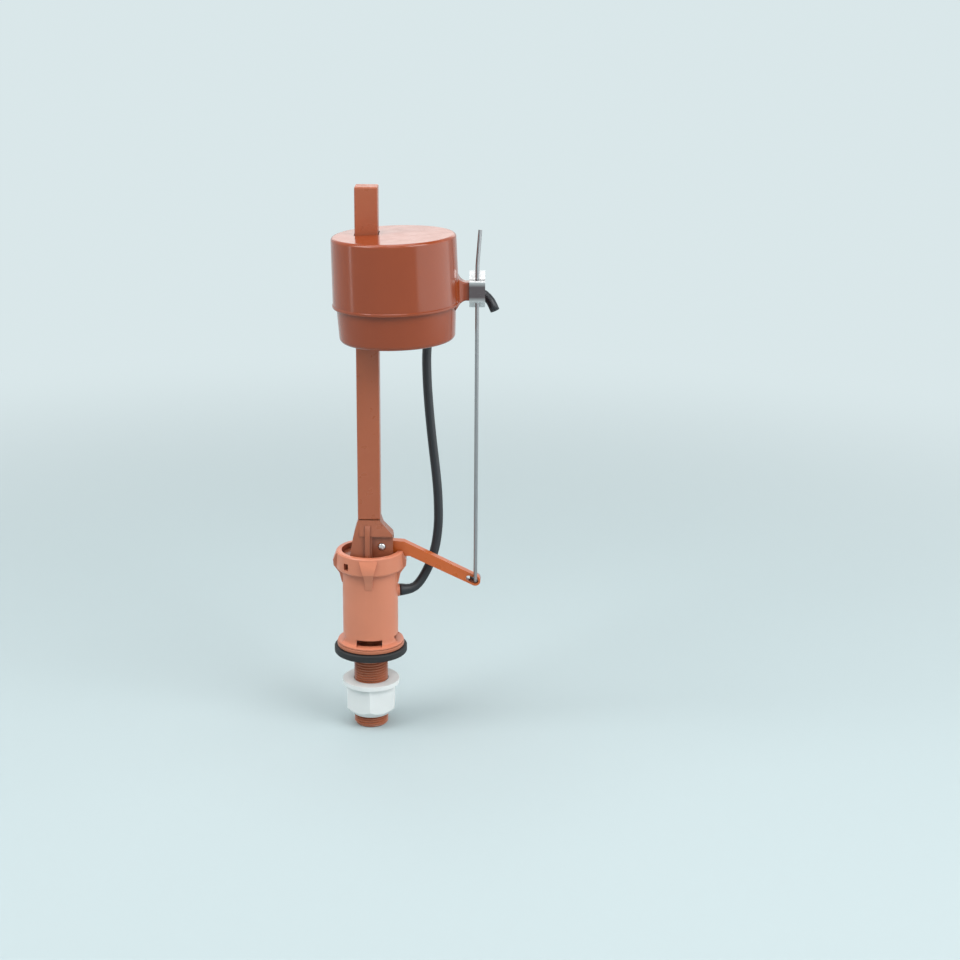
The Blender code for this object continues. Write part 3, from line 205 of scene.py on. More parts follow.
# Noises in the finishes, each with its scale and its detail
CLOUD_NOISE = (55.0, 3.0)
FLOW_NOISE = (14.0, 2.0)
GLOSS_NOISE = (120.0, 4.0)
PEEL_NOISE = (700.0, 2.0)
LINE_NOISE = (1.0, 3.0)
SPOT_NOISE = (150.0, 4.0)

# Moulded plastic, the painted shade in its corners, and drawn metal
CLOUD_SHARE = 0.6
FLOW_SHARE = 0.4
NOISE_MIDDLE = 0.5
CLOUD_GAIN = 2.0
GLOSS_NOISE_LOW = 0.3
GLOSS_NOISE_HIGH = 0.7
# Painted shade: how far the ambient occlusion reaches, and the tint that darkens crevices
PAINTED_SHADE_REACH = 0.004
PAINTED_SHADE_SAMPLES = 8
PAINTED_SHADE_TINT = (0.45, 0.38, 0.36, 1.0)
TARNISH_TINT = (0.42, 0.42, 0.44, 1.0)
TARNISH_ROUGHNESS = 0.3
LINE_ROUGHNESS = 0.22
BARE_ROUGHNESS = 0.16
LINE_DEPTH = 0.00001

# Sockets of shader node groups, and of a Mix node that mixes colours
COLOUR = "NodeSocketColor"
VALUE = "NodeSocketFloat"
VECTOR = "NodeSocketVector"
MIX_SHARE = 0
MIX_FIRST = 6
MIX_SECOND = 7
MIX_RESULT = 2


# Camera


def make_camera():
    """A camera tipped down by its pitch, and turned by its roll about its own view."""
    straight_up = Vector((0, math.sin(CAMERA_PITCH), math.cos(CAMERA_PITCH)))
    across = Vector((1, 0, 0))
    ahead = Vector((0, math.cos(CAMERA_PITCH), -math.sin(CAMERA_PITCH)))
    right = across * math.cos(CAMERA_ROLL) + straight_up * math.sin(CAMERA_ROLL)
    up = straight_up * math.cos(CAMERA_ROLL) - across * math.sin(CAMERA_ROLL)
    lens = bpy.data.cameras.new("camera")
    lens.sensor_width = SENSOR_WIDTH
    lens.lens = FOCAL_PIXELS * SENSOR_WIDTH / PICTURE_SIZE
    lens.clip_start = CAMERA_NEAR
    lens.clip_end = CAMERA_FAR
    camera = bpy.data.objects.new("camera", lens)
    bpy.context.scene.collection.objects.link(camera)
    turned = Matrix((right, up, -ahead)).transposed().to_4x4()
    camera.matrix_world = Matrix.Translation(CAMERA_PLACE) @ turned
    bpy.context.scene.camera = camera


# Mesh work shared by the pieces


def arc(centre, radius, start, end, steps):
    """Points on a circle between two angles in degrees, both ends included."""
    points = []
    for i in range(steps + 1):
        angle = math.radians(start + (end - start) * i / steps)
        points.append((centre[0] + radius * math.cos(angle), centre[1] + radius * math.sin(angle)))
    return points


def full_turn(sides):
    """The angle of each side round a circle."""
    return [2 * math.pi * i / sides for i in range(sides)]


def turned_loops(profile, sides):
    """A loop of points about Z for each (radius, height) of a profile."""
    loops = []
    for radius, height in profile:
        loops.append([(radius * math.cos(a), radius * math.sin(a), height) for a in full_turn(sides)])
    return loops


def add_rows(cage, loops):
    """Adds loops of points to a cage as rows of vertices."""
    return [[cage.verts.new(point) for point in loop] for loop in loops]


def join_rows(cage, rows):
    """Adds a band of four-sided faces from each row to the next."""
    for lower, upper in zip(rows, rows[1:]):
        for i in range(len(lower)):
            cage.faces.new((lower[i - 1], lower[i], upper[i], upper[i - 1]))


def mesh_from(cage, name):
    """Turns a cage into a mesh, and frees it."""
    mesh = bpy.data.meshes.new(name)
    cage.to_mesh(mesh)
    cage.free()
    return mesh


def skin_mesh(name, loops):
    """A closed mesh over a row of point loops, capped at both ends."""
    cage = bmesh.new()
    rows = add_rows(cage, loops)
    cage.faces.new(rows[0])
    cage.faces.new(rows[-1])
    join_rows(cage, rows)
    bmesh.ops.recalc_face_normals(cage, faces=cage.faces)
    return mesh_from(cage, name)


def turned_mesh(name, profile, sides):
    """A profile of (radius, height) points turned about Z, capped at both ends."""
    return skin_mesh(name, turned_loops(profile, sides))


def rounded_box_loop(half_x, half_y, corner):
    """The outline of a rectangle with round corners, about its middle."""
    points = []
    for i, (x, y) in enumerate(((1, 1), (-1, 1), (-1, -1), (1, -1))):
        centre = (x * (half_x - corner), y * (half_y - corner))
        points += arc(centre, corner, 90 * i, 90 * i + 90, CORNER_STEPS)
    return points


def carve(mesh, operation, other):
    """The mesh joined with or cut by another, as a new mesh in place of both."""
    name = mesh.name
    scene = bpy.context.scene.collection
    work = bpy.data.objects.new("work", mesh)
    tool = bpy.data.objects.new("tool", other)
    scene.objects.link(work)
    scene.objects.link(tool)
    modifier = work.modifiers.new("Carve", "BOOLEAN")
    modifier.operation = operation
    modifier.solver = "EXACT"
    modifier.object = tool
    bpy.context.view_layer.update()
    graph = bpy.context.evaluated_depsgraph_get()
    made = bpy.data.meshes.new_from_object(work.evaluated_get(graph))
    bpy.data.objects.remove(work)
    bpy.data.objects.remove(tool)
    bpy.data.meshes.remove(mesh)
    bpy.data.meshes.remove(other)
    made.materials.clear()
    made.name = name
    return made


def even_shading(obj):
    """Smooth faces with crisp edges above an angle, weighted so that large flats stay flat."""
    for polygon in obj.data.polygons:
        polygon.use_smooth = True
    obj.data.set_sharp_from_angle(angle=CRISP_ANGLE)
    even = obj.modifiers.new("Shading", "WEIGHTED_NORMAL")
    even.keep_sharp = True


def new_piece(name, mesh, material, body):
    """A piece with one material, which rides on a body."""
    obj = bpy.data.objects.new(name, mesh)
    bpy.context.scene.collection.objects.link(obj)
    mesh.materials.append(material)
    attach(obj, body)
    return obj


# Refill hose


def smooth_line(before, points, step):
    """Points at an even step on a smooth curve through the points, which comes from one before them."""
    ends = [before] + points + [2 * points[-1] - points[-2]]
    fine = []
    for a, b, c, d in zip(ends, ends[1:], ends[2:], ends[3:]):
        for i in range(CURVE_STEPS):
            t = i / CURVE_STEPS
            bend = (2 * a - 5 * b + 4 * c - d) * t * t + (3 * b - a - 3 * c + d) * t * t * t
            fine.append(b + ((c - a) * t + bend) / 2)
    fine.append(points[-1])
    spaced = [fine[0]]
    for point in fine[1:-1]:
        if (point - spaced[-1]).length >= step:
            spaced.append(point)
    if (fine[-1] - spaced[-1]).length < step / 2:
        spaced.pop()
    return spaced + [fine[-1]]


def tube_spokes(line):
    """A ring of unit spokes square to a line at each of its points, without twist."""
    last = len(line) - 1
    side = (line[1] - line[0]).normalized().orthogonal().normalized()
    rings = []
    for i in range(len(line)):
        tangent = (line[min(i + 1, last)] - line[max(i - 1, 0)]).normalized()
        side = (side - tangent * side.dot(tangent)).normalized()
        other = tangent.cross(side)
        rings.append([side * math.cos(a) + other * math.sin(a) for a in full_turn(HOSE_SIDES)])
    return rings


def tube_mesh(name, line, radii, bore, bore_depth):
    """A tube swept along a line, open at its far end as deep as the bore."""
    rings = tube_spokes(line)
    loops = []
    for point, ring, radius in zip(line, rings, radii):
        loops.append([point + spoke * radius for spoke in ring])
    depth = 0.0
    for i in range(len(line) - 1, 0, -1):
        loops.append([line[i] + spoke * bore for spoke in rings[i]])
        depth += (line[i] - line[i - 1]).length
        if depth > bore_depth:
            break
    mesh = skin_mesh(name, loops)
    for polygon in mesh.polygons:
        polygon.use_smooth = len(polygon.vertices) == 4
    return mesh


def make_hose(material):
    """The hose from its cuff on the nipple to its bare end beside the float's lug."""
    out = Vector((math.cos(NIPPLE_ANGLE), math.sin(NIPPLE_ANGLE), 0))
    rise = Vector((0, 0, NIPPLE_Z))
    start = out * HOSE_START_REACH + rise
    cuff_end = out * CUFF_END_REACH + rise
    route = [cuff_end] + [Vector(point) for point in HOSE_ROUTE]
    cuff_line = [start.lerp(cuff_end, i / CUFF_STEPS) for i in range(CUFF_STEPS)]
    line = cuff_line + smooth_line(start, route, HOSE_STEP)
    radii = [CUFF_RADIUS * share for share in CUFF_TAPER]
    radii += [HOSE_RADIUS] * (len(line) - len(radii))
    mesh = tube_mesh("refill_hose_tube", line, radii, HOSE_BORE_RADIUS, HOSE_BORE_DEPTH)
    hose = new_piece("refill_hose_tube", mesh, material, "valve_body")
    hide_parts("refill_hose")
    length = sum((b - a).length for a, b in zip(line, line[1:]))


# Threaded shank


def screw_point(cage, made, ends, row, side):
    """A point of the thread, on rows that climb with the screw and stop at the two end rings."""
    if side == SHANK_SIDES:
        return screw_point(cage, made, ends, row + len(THREAD_SHAPE), 0)
    turn, step = divmod(row, len(THREAD_SHAPE))
    share, swell = THREAD_SHAPE[step]
    z = THREAD_BOTTOM + (turn - 1 + share + side / SHANK_SIDES) * THREAD_PITCH
    bottom_ring, top_ring = ends
    if z <= THREAD_BOTTOM:
        return bottom_ring[side]
    if z >= THREAD_TOP:
        return top_ring[side]
    if (row, side) not in made:
        lead_in = SHANK_RADIUS - SHANK_CHAMFER + z - THREAD_BOTTOM
        run_out = THREAD_CORE + THREAD_TOP - z
        radius = min(SHANK_RADIUS - THREAD_DEPTH * (1 - swell), lead_in, run_out)
        angle = 2 * math.pi * side / SHANK_SIDES
        made[row, side] = cage.verts.new((radius * math.cos(angle), radius * math.sin(angle), z))
    return made[row, side]


def wind_thread(cage, ends):
    """Winds the thread's faces from the bottom ring to the top ring."""
    made = {}
    turns = math.ceil((THREAD_TOP - THREAD_BOTTOM) / THREAD_PITCH) + 1
    for row in range(turns * len(THREAD_SHAPE)):
        for side in range(SHANK_SIDES):
            places = ((row, side), (row, side + 1), (row + 1, side + 1), (row + 1, side))
            corners = [screw_point(cage, made, ends, *place) for place in places]
            kept = list(dict.fromkeys(corners))
            if len(kept) > 2:
                cage.faces.new(kept)


def make_shank(material):
    """The inlet: a screw thread under a flange, with the riser and the bore inside."""
    profile = [
        (SHANK_RADIUS - SHANK_CHAMFER, THREAD_BOTTOM),
        (SCREEN_POCKET_RADIUS, THREAD_BOTTOM),
        (SCREEN_POCKET_RADIUS, SCREEN_POCKET_TOP),
        (SHANK_BORE_RADIUS, SCREEN_POCKET_TOP),
        (SHANK_BORE_RADIUS, SEAT_SOCKET_FLOOR),
        (SEAT_SOCKET_RADIUS, SEAT_SOCKET_FLOOR),
        (SEAT_SOCKET_RADIUS, RISER_TOP),
        (RISER_RADIUS, RISER_TOP),
        (RISER_RADIUS, FLANGE_TOP),
    ]
    edge = FLANGE_RADIUS - FLANGE_EDGE
    profile += arc((edge, FLANGE_TOP - FLANGE_EDGE), FLANGE_EDGE, 90, 0, FLANGE_EDGE_STEPS)
    profile += arc((edge, FLANGE_BOTTOM + FLANGE_EDGE), FLANGE_EDGE, 0, -90, FLANGE_EDGE_STEPS)
    profile += [(NECK_RADIUS, FLANGE_BOTTOM), (NECK_RADIUS, THREAD_TOP), (THREAD_CORE, THREAD_TOP)]
    cage = bmesh.new()
    rings = add_rows(cage, turned_loops(profile, SHANK_SIDES))
    join_rows(cage, rings)
    wind_thread(cage, (rings[0], rings[-1]))
    bmesh.ops.recalc_face_normals(cage, faces=cage.faces)
    mesh = mesh_from(cage, "shank_threaded")
    shank = new_piece("shank_threaded", mesh, material, "valve_body")
    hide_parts("shank_body")
    even_shading(shank)


# Float and its clip


def box_loops(half, bottom, top, corner):
    """The lower and upper outlines of an upright square post about Z."""
    outline = rounded_box_loop(half, half, corner)
    return [[(x, y, z) for x, y in outline] for z in (bottom, top)]


def leaned(mesh):
    """Puts a mesh made about the float's own axis where the float is."""
    mesh.transform(Matrix.Translation(FLOAT_PLACE) @ Matrix.Rotation(FLOAT_LEAN, 4, "Y"))
    return mesh


def through_mast(mesh, bottom, top):
    """Adds the square sleeve round the mast, and the hole through it."""
    sleeve = skin_mesh("sleeve", box_loops(SLEEVE_HALF, bottom, top, SLEEVE_CORNER))
    tunnel_bottom = bottom - TUNNEL_PAST
    tunnel_top = top + TUNNEL_PAST
    tunnel = skin_mesh("tunnel", box_loops(TUNNEL_HALF, tunnel_bottom, tunnel_top, TUNNEL_CORNER))
    return carve(carve(mesh, "UNION", sleeve), "DIFFERENCE", tunnel)


def lug_mesh():
    """The lug that holds the float on the lift rod, flared where it meets the cap."""
    half_height = (LUG_TOP - LUG_BOTTOM) / 2
    loops = []
    for x, flare in LUG_SECTIONS:
        outline = rounded_box_loop(LUG_HALF_WIDTH + flare, half_height + flare, LUG_ROUND)
        loops.append([(x, ROD_Y + y, LUG_MIDDLE + z) for y, z in outline])
    return skin_mesh("lug", loops)


def pierce_for_rod(mesh, bottom, top):
    """Cuts the round hole that the lift rod passes through."""
    hole = turned_mesh("rod_hole", [(ROD_HOLE_RADIUS, bottom), (ROD_HOLE_RADIUS, top)], ROD_HOLE_SIDES)
    hole.transform(Matrix.Translation((ROD_X, ROD_Y, 0)))
    return carve(mesh, "DIFFERENCE", hole)


def make_float_cap(material):
    """The float's upper shell, with a bead round its rim and the lug on its side."""
    wall = FLOAT_WALL
    bead_radius = CAP_RIM_RADIUS + RIM_BEAD
    top_edge = (CAP_TOP_RADIUS - CAP_EDGE, CAP_HEIGHT - CAP_EDGE)
    profile = arc(top_edge, CAP_EDGE, 90, 0, FLOAT_EDGE_STEPS)
    profile += [(CAP_RIM_RADIUS, RIM_BEAD_HEIGHT + RIM_BEAD), (bead_radius, RIM_BEAD_HEIGHT)]
    profile += arc((bead_radius - RIM_EDGE, RIM_EDGE), RIM_EDGE, 0, -90, RIM_EDGE_STEPS)
    profile += [(CAP_RIM_RADIUS - wall, 0), (CAP_TOP_RADIUS - wall, CAP_HEIGHT - wall)]
    mesh = leaned(turned_mesh("float_cap_shell", profile, FLOAT_SIDES))
    mesh = carve(mesh, "UNION", lug_mesh())
    seam = FLOAT_PLACE[2]
    top_at_mast = seam + CAP_HEIGHT - wall / 2 + math.tan(FLOAT_LEAN) * FLOAT_PLACE[0]
    mesh = through_mast(mesh, seam + CUP_LAP + SLEEVE_GAP, top_at_mast)
    mesh = pierce_for_rod(mesh, LUG_BOTTOM - LUG_HOLE_PAST, LUG_TOP + LUG_HOLE_PAST)
    cap = new_piece("float_cap_shell", mesh, material, "float")
    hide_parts("float_cap")
    even_shading(cap)


def make_float_cup(material):
    """The float's lower shell, which laps inside the cap's rim."""
    wall = FLOAT_WALL
    profile = [
        (CUP_FOOT_RADIUS - wall, wall - CUP_HEIGHT),
        (CUP_TOP_RADIUS - wall, CUP_LAP),
        (CUP_TOP_RADIUS, CUP_LAP),
    ]
    foot_edge = (CUP_FOOT_RADIUS - CUP_EDGE, CUP_EDGE - CUP_HEIGHT)
    profile += arc(foot_edge, CUP_EDGE, 0, -90, FLOAT_EDGE_STEPS)
    mesh = leaned(turned_mesh("float_cup_shell", profile, FLOAT_SIDES))
    seam = FLOAT_PLACE[2]
    foot_at_mast = seam - CUP_HEIGHT + wall / 2 + math.tan(FLOAT_LEAN) * FLOAT_PLACE[0]
    mesh = through_mast(mesh, foot_at_mast, seam + CUP_LAP)
    cup = new_piece("float_cup_shell", mesh, material, "float")
    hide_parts("float_cup")
    even_shading(cup)


def rounded_path(corners, radius, steps):
    """A path through corner points with each inner corner rounded."""
    points = [Vector(corner) for corner in corners]
    path = [points[0]]
    for before, corner, after in zip(points, points[1:], points[2:]):
        into = (before - corner).normalized()
        away = (after - corner).normalized()
        reach = radius / math.tan(into.angle(away) / 2)
        first = corner + into * reach
        last = corner + away * reach
        for i in range(steps + 1):
            t = i / steps
            path.append(first * (1 - t) ** 2 + corner * 2 * t * (1 - t) + last * t**2)
    return path + [points[-1]]


def strip_outline(path, thickness):
    """The outline of a strip that is bent along a flat path."""
    last = len(path) - 1
    outer = []
    inner = []
    for i, point in enumerate(path):
        along = (path[min(i + 1, last)] - path[max(i - 1, 0)]).normalized()
        across = Vector((-along.y, along.x)) * thickness / 2
        outer.append(point - across)
        inner.append(point + across)
    return outer + inner[::-1]


def make_spring(material):
    """The spring strip round the front of the lug, with an ear at each end to pinch."""
    clear = SPRING_GAP + SPRING_THICKNESS / 2
    front = ROD_Y - LUG_HALF_WIDTH - clear
    top = LUG_TOP + clear
    bottom = LUG_BOTTOM - clear
    ear_end = SPRING_BACK + SPRING_EAR_REACH
    corners = [
        (ear_end, top + SPRING_EAR_RISE),
        (SPRING_BACK, top),
        (front, top),
        (front, bottom),
        (SPRING_BACK, bottom),
        (ear_end, bottom - SPRING_EAR_RISE),
    ]
    path = rounded_path(corners, SPRING_BEND, SPRING_BEND_STEPS)
    outline = strip_outline(path, SPRING_THICKNESS)
    edges = (ROD_X - SPRING_HALF_WIDTH, ROD_X + SPRING_HALF_WIDTH)
    mesh = skin_mesh("adjust_spring", [[(x, y, z) for y, z in outline] for x in edges])
    mesh = pierce_for_rod(mesh, bottom - SPRING_HOLE_PAST, top + SPRING_HOLE_PAST)
    spring = new_piece("adjust_spring", mesh, material, "float")
    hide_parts("adjust_clip")
    even_shading(spring)


# Shader nodes and node groups


def add(tree, kind, **values):
    """A new node with some of its settings."""
    node = tree.nodes.new(kind)
    for key, value in values.items():
        setattr(node, key, value)
    return node


def group_tree(name, inputs, outputs):
    """An empty node group with its named sockets, and its input and output nodes."""
    tree = bpy.data.node_groups.new(name, "ShaderNodeTree")
    for direction, sockets in (("INPUT", inputs), ("OUTPUT", outputs)):
        for socket, kind in sockets.items():
            tree.interface.new_socket(socket, in_out=direction, socket_type=kind)
    return tree, add(tree, "NodeGroupInput"), add(tree, "NodeGroupOutput")


def noise(tree, coordinate, scale, detail):
    node = add(tree, "ShaderNodeTexNoise")
    node.inputs["Scale"].default_value = scale
    node.inputs["Detail"].default_value = detail
    tree.links.new(coordinate, node.inputs["Vector"])
    return node.outputs["Fac"]


def math_node(tree, operation, first, second=0.0):
    """A Math node, whose two values are numbers or other nodes' outputs."""
    node = add(tree, "ShaderNodeMath", operation=operation)
    for socket, value in zip(node.inputs, (first, second)):
        if isinstance(value, float):
            socket.default_value = value
        else:
            tree.links.new(value, socket)
    return node.outputs["Value"]


def mix_colours(tree, share, first, second, blend="MIX"):
    """A Mix node for colours, whose values are plain or other nodes' outputs."""
    node = add(tree, "ShaderNodeMix", data_type="RGBA", blend_type=blend)
    for socket, value in ((MIX_SHARE, share), (MIX_FIRST, first), (MIX_SECOND, second)):
        if isinstance(value, (float, tuple)):
            node.inputs[socket].default_value = value
        else:
            tree.links.new(value, node.inputs[socket])
    return node.outputs[MIX_RESULT]


def moulded_skin_group():
    """Injection-moulded plastic: cloudy colour, uneven gloss and a fine orange-peel surface."""
    inputs = {"Colour": COLOUR, "Cloud": VALUE, "Roughness Low": VALUE, "Roughness High": VALUE}
    outputs = {"Colour": COLOUR, "Roughness": VALUE, "Height": VALUE}
    tree, into, out = group_tree("moulded_skin", inputs, outputs)
    where = add(tree, "ShaderNodeTexCoord").outputs["Object"]
    cloud = math_node(tree, "MULTIPLY", noise(tree, where, *CLOUD_NOISE), CLOUD_SHARE)
    flow = math_node(tree, "MULTIPLY", noise(tree, where, *FLOW_NOISE), FLOW_SHARE)
    shade = math_node(tree, "SUBTRACT", math_node(tree, "ADD", cloud, flow), NOISE_MIDDLE)
    swing = math_node(tree, "MULTIPLY", shade, into.outputs["Cloud"])
    brightness = math_node(tree, "ADD", math_node(tree, "MULTIPLY", swing, CLOUD_GAIN), 1.0)
    clouded = add(tree, "ShaderNodeHueSaturation")
    tree.links.new(into.outputs["Colour"], clouded.inputs["Color"])
    tree.links.new(brightness, clouded.inputs["Value"])
    tree.links.new(clouded.outputs["Color"], out.inputs["Colour"])
    gloss = add(tree, "ShaderNodeMapRange")
    gloss.inputs["From Min"].default_value = GLOSS_NOISE_LOW
    gloss.inputs["From Max"].default_value = GLOSS_NOISE_HIGH
    tree.links.new(noise(tree, where, *GLOSS_NOISE), gloss.inputs["Value"])
    tree.links.new(into.outputs["Roughness Low"], gloss.inputs["To Min"])
    tree.links.new(into.outputs["Roughness High"], gloss.inputs["To Max"])
    tree.links.new(gloss.outputs["Result"], out.inputs["Roughness"])
    tree.links.new(noise(tree, where, *PEEL_NOISE), out.inputs["Height"])
    return tree


def painted_shade_group():
    """Painted shade: darkens the colour where two walls meet, as far as an ambient occlusion mask finds
    them closed in.
    """
    inputs = {"Colour": COLOUR, "Depth": VALUE}
    tree, into, out = group_tree("painted_shade", inputs, {"Colour": COLOUR})
    given_colour = into.outputs["Colour"]
    hollow = add(tree, "ShaderNodeAmbientOcclusion", samples=PAINTED_SHADE_SAMPLES)
    hollow.inputs["Distance"].default_value = PAINTED_SHADE_REACH
    closed = math_node(tree, "SUBTRACT", 1.0, hollow.outputs["AO"])
    mask = math_node(tree, "MULTIPLY", closed, into.outputs["Depth"])
    dark = mix_colours(tree, 1.0, given_colour, PAINTED_SHADE_TINT, "MULTIPLY")
    tree.links.new(mix_colours(tree, mask, given_colour, dark), out.inputs["Colour"])
    return tree


def drawn_metal_group():
    """Fine lines along the drawing direction, as on wire and strip, with spots of tarnish."""
    inputs = {"Colour": COLOUR, "Stretch": VECTOR, "Tarnish": VALUE}
    outputs = {"Colour": COLOUR, "Roughness": VALUE, "Height": VALUE}
    tree, into, out = group_tree("drawn_metal", inputs, outputs)
    given_colour = into.outputs["Colour"]
    where = add(tree, "ShaderNodeTexCoord").outputs["Object"]
    drawn = add(tree, "ShaderNodeVectorMath", operation="MULTIPLY")
    tree.links.new(where, drawn.inputs[0])
    tree.links.new(into.outputs["Stretch"], drawn.inputs[1])
    lines = noise(tree, drawn.outputs["Vector"], *LINE_NOISE)
    dull = math_node(tree, "MULTIPLY", noise(tree, where, *SPOT_NOISE), into.outputs["Tarnish"])
    dark = mix_colours(tree, 1.0, given_colour, TARNISH_TINT, "MULTIPLY")
    tree.links.new(mix_colours(tree, dull, given_colour, dark), out.inputs["Colour"])
    lined = math_node(tree, "ADD", math_node(tree, "MULTIPLY", lines, LINE_ROUGHNESS), BARE_ROUGHNESS)
    tarnished = math_node(tree, "MULTIPLY", dull, TARNISH_ROUGHNESS)
    tree.links.new(math_node(tree, "ADD", lined, tarnished), out.inputs["Roughness"])
    tree.links.new(lines, out.inputs["Height"])
    return tree


SKIN = moulded_skin_group()
PAINTED_SHADE = painted_shade_group()
DRAWN = drawn_metal_group()


# Finishes


def new_material(name):
    """A new material, with its node tree and its shader."""
    material = bpy.data.materials.new(name)
    material.use_nodes = True
    tree = material.node_tree
    return material, tree, tree.nodes["Principled BSDF"]


def use_group(tree, group, values):
    """Places a node group with its own values."""
    node = add(tree, "ShaderNodeGroup", node_tree=group)
    for socket, value in values.items():
        node.inputs[socket].default_value = value
    return node


def raise_surface(tree, shader, height, depth):
    bump = add(tree, "ShaderNodeBump")
    bump.inputs["Distance"].default_value = depth
    tree.links.new(height, bump.inputs["Height"])
    tree.links.new(bump.outputs["Normal"], shader.inputs["Normal"])


def moulded(name, colour, cloud=0.1, roughness=(0.25, 0.38), peel=0.000012, painted_shade=0.6):
    """A moulded plastic or rubber, with its cloudiness, roughness, orange peel and painted shade in its
    crevices.
    """
    material, tree, shader = new_material(name)
    low, high = roughness
    values = {"Colour": (*colour, 1.0), "Cloud": cloud, "Roughness Low": low, "Roughness High": high}
    skin = use_group(tree, SKIN, values)
    # Painted shade in the crevices, over the moulded skin's colour
    corner = use_group(tree, PAINTED_SHADE, {"Depth": painted_shade})
    tree.links.new(skin.outputs["Colour"], corner.inputs["Colour"])
    tree.links.new(corner.outputs["Colour"], shader.inputs["Base Color"])
    tree.links.new(skin.outputs["Roughness"], shader.inputs["Roughness"])
    raise_surface(tree, shader, skin.outputs["Height"], peel)
    return material


def drawn_metal(name, colour, stretch, tarnish):
    """A metal with fine lines, which run along the axis of the lowest stretch."""
    material, tree, shader = new_material(name)
    wire = use_group(tree, DRAWN, {"Colour": (*colour, 1.0), "Stretch": stretch, "Tarnish": tarnish})
    tree.links.new(wire.outputs["Colour"], shader.inputs["Base Color"])
    tree.links.new(wire.outputs["Roughness"], shader.inputs["Roughness"])
    shader.inputs["Metallic"].default_value = 1.0
    raise_surface(tree, shader, wire.outputs["Height"], LINE_DEPTH)
    return material


def paint_ear_highlights(material):
    """Paints the spring strip brighter away from the lug's middle: a painted highlight on its ears."""
    tree = material.node_tree
    shader = tree.nodes["Principled BSDF"]
    dull = shader.inputs["Base Color"].links[0].from_socket
    place = add(tree, "ShaderNodeSeparateXYZ")
    tree.links.new(add(tree, "ShaderNodeTexCoord").outputs["Object"], place.inputs["Vector"])
    above = math_node(tree, "SUBTRACT", place.outputs["Z"], LUG_MIDDLE)
    ear_highlight = add(tree, "ShaderNodeMapRange")
    ear_highlight.inputs["From Min"].default_value = SPRING_HIGHLIGHT_FROM
    ear_highlight.inputs["From Max"].default_value = SPRING_HIGHLIGHT_TO
    tree.links.new(math_node(tree, "ABSOLUTE", above), ear_highlight.inputs["Value"])
    colour = mix_colours(tree, ear_highlight.outputs["Result"], dull, SPRING_HIGHLIGHT_COLOUR)
    tree.links.new(colour, shader.inputs["Base Color"])


def soften(obj, edge):
    """Rounds a node's sharp edges and evens its shading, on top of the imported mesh."""
    weld = obj.modifiers.new("Weld", "WELD")
    weld.merge_threshold = WELD_REACH
    if edge:
        bevel = obj.modifiers.new("Edges", "BEVEL")
        bevel.width = edge
        bevel.segments = EDGE_SEGMENTS
        bevel.limit_method = "ANGLE"
        bevel.angle_limit = EDGE_ANGLE
    obj.modifiers.new("Shading", "WEIGHTED_NORMAL")


def dress(node, material, edge=0.0, flat=False):
    """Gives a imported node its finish, with flat faces or with round edges and even shading."""
    obj = NODES[node]
    obj.data.materials.clear()
    obj.data.materials.append(material)
    for polygon in obj.data.polygons:
        polygon.use_smooth = not flat
    if not flat:
        soften(obj, edge)


# Floor and light


def floor_material():
    """Matt where the shadow falls. Far off, the camera and reflections see one pale colour."""
    material, tree, shader = new_material("pale_floor")
    shader.inputs["Base Color"].default_value = FLOOR_COLOUR
    shader.inputs["Roughness"].default_value = FLOOR_ROUGHNESS
    reach = add(tree, "ShaderNodeVectorMath", operation="LENGTH")
    tree.links.new(add(tree, "ShaderNodeTexCoord").outputs["Object"], reach.inputs[0])
    far = add(tree, "ShaderNodeMapRange", interpolation_type="SMOOTHSTEP")
    far.inputs["From Min"].default_value = BACKDROP_NEAR
    far.inputs["From Max"].default_value = BACKDROP_FAR
    tree.links.new(reach.outputs["Value"], far.inputs["Value"])
    path = add(tree, "ShaderNodeLightPath").outputs
    mirrored = math_node(tree, "MAXIMUM", path["Is Glossy Ray"], path["Is Transmission Ray"])
    seen = math_node(tree, "MAXIMUM", path["Is Camera Ray"], mirrored)
    glow = add(tree, "ShaderNodeEmission")
    glow.inputs["Color"].default_value = BACKDROP_COLOUR
    blend = add(tree, "ShaderNodeMixShader")
    tree.links.new(math_node(tree, "MULTIPLY", seen, far.outputs["Result"]), blend.inputs["Fac"])
    tree.links.new(shader.outputs["BSDF"], blend.inputs[1])
    tree.links.new(glow.outputs["Emission"], blend.inputs[2])
    tree.links.new(blend.outputs["Shader"], tree.nodes["Material Output"].inputs["Surface"])
    return material


def make_floor():
    """A round studio: a flat floor that curves up into its wall."""
    cove_start = STUDIO_RADIUS - COVE_RADIUS
    profile = [(FLOOR_MIDDLE, FLOOR_Z)]
    profile += arc((cove_start, FLOOR_Z + COVE_RADIUS), COVE_RADIUS, -90, 0, COVE_STEPS)
    profile.append((STUDIO_RADIUS, STUDIO_TOP))
    cage = bmesh.new()
    rings = add_rows(cage, turned_loops(profile, STUDIO_SIDES))
    join_rows(cage, rings)
    for face in cage.faces:
        face.smooth = True
    cage.faces.new(rings[0])
    mesh = mesh_from(cage, "floor")
    mesh.materials.append(floor_material())
    floor = bpy.data.objects.new("floor", mesh)
    bpy.context.scene.collection.objects.link(floor)


def panel_light(name, place, aim, size, power, colour=(1.0, 1.0, 1.0)):
    """A rectangular lamp that faces a point, with its power in watts."""
    lamp = bpy.data.lights.new(name, "AREA")
    lamp.shape = "RECTANGLE"
    lamp.size, lamp.size_y = size
    lamp.energy = power
    lamp.color = colour
    obj = bpy.data.objects.new(name, lamp)
    bpy.context.scene.collection.objects.link(obj)
    obj.location = place
    obj.rotation_euler = (Vector(aim) - Vector(place)).to_track_quat("-Z", "Y").to_euler()


def softbox(name, place, width, power):
    """A square lamp that faces the valve's middle."""
    panel_light(name, place, SOFTBOX_AIM, (width, width), power)


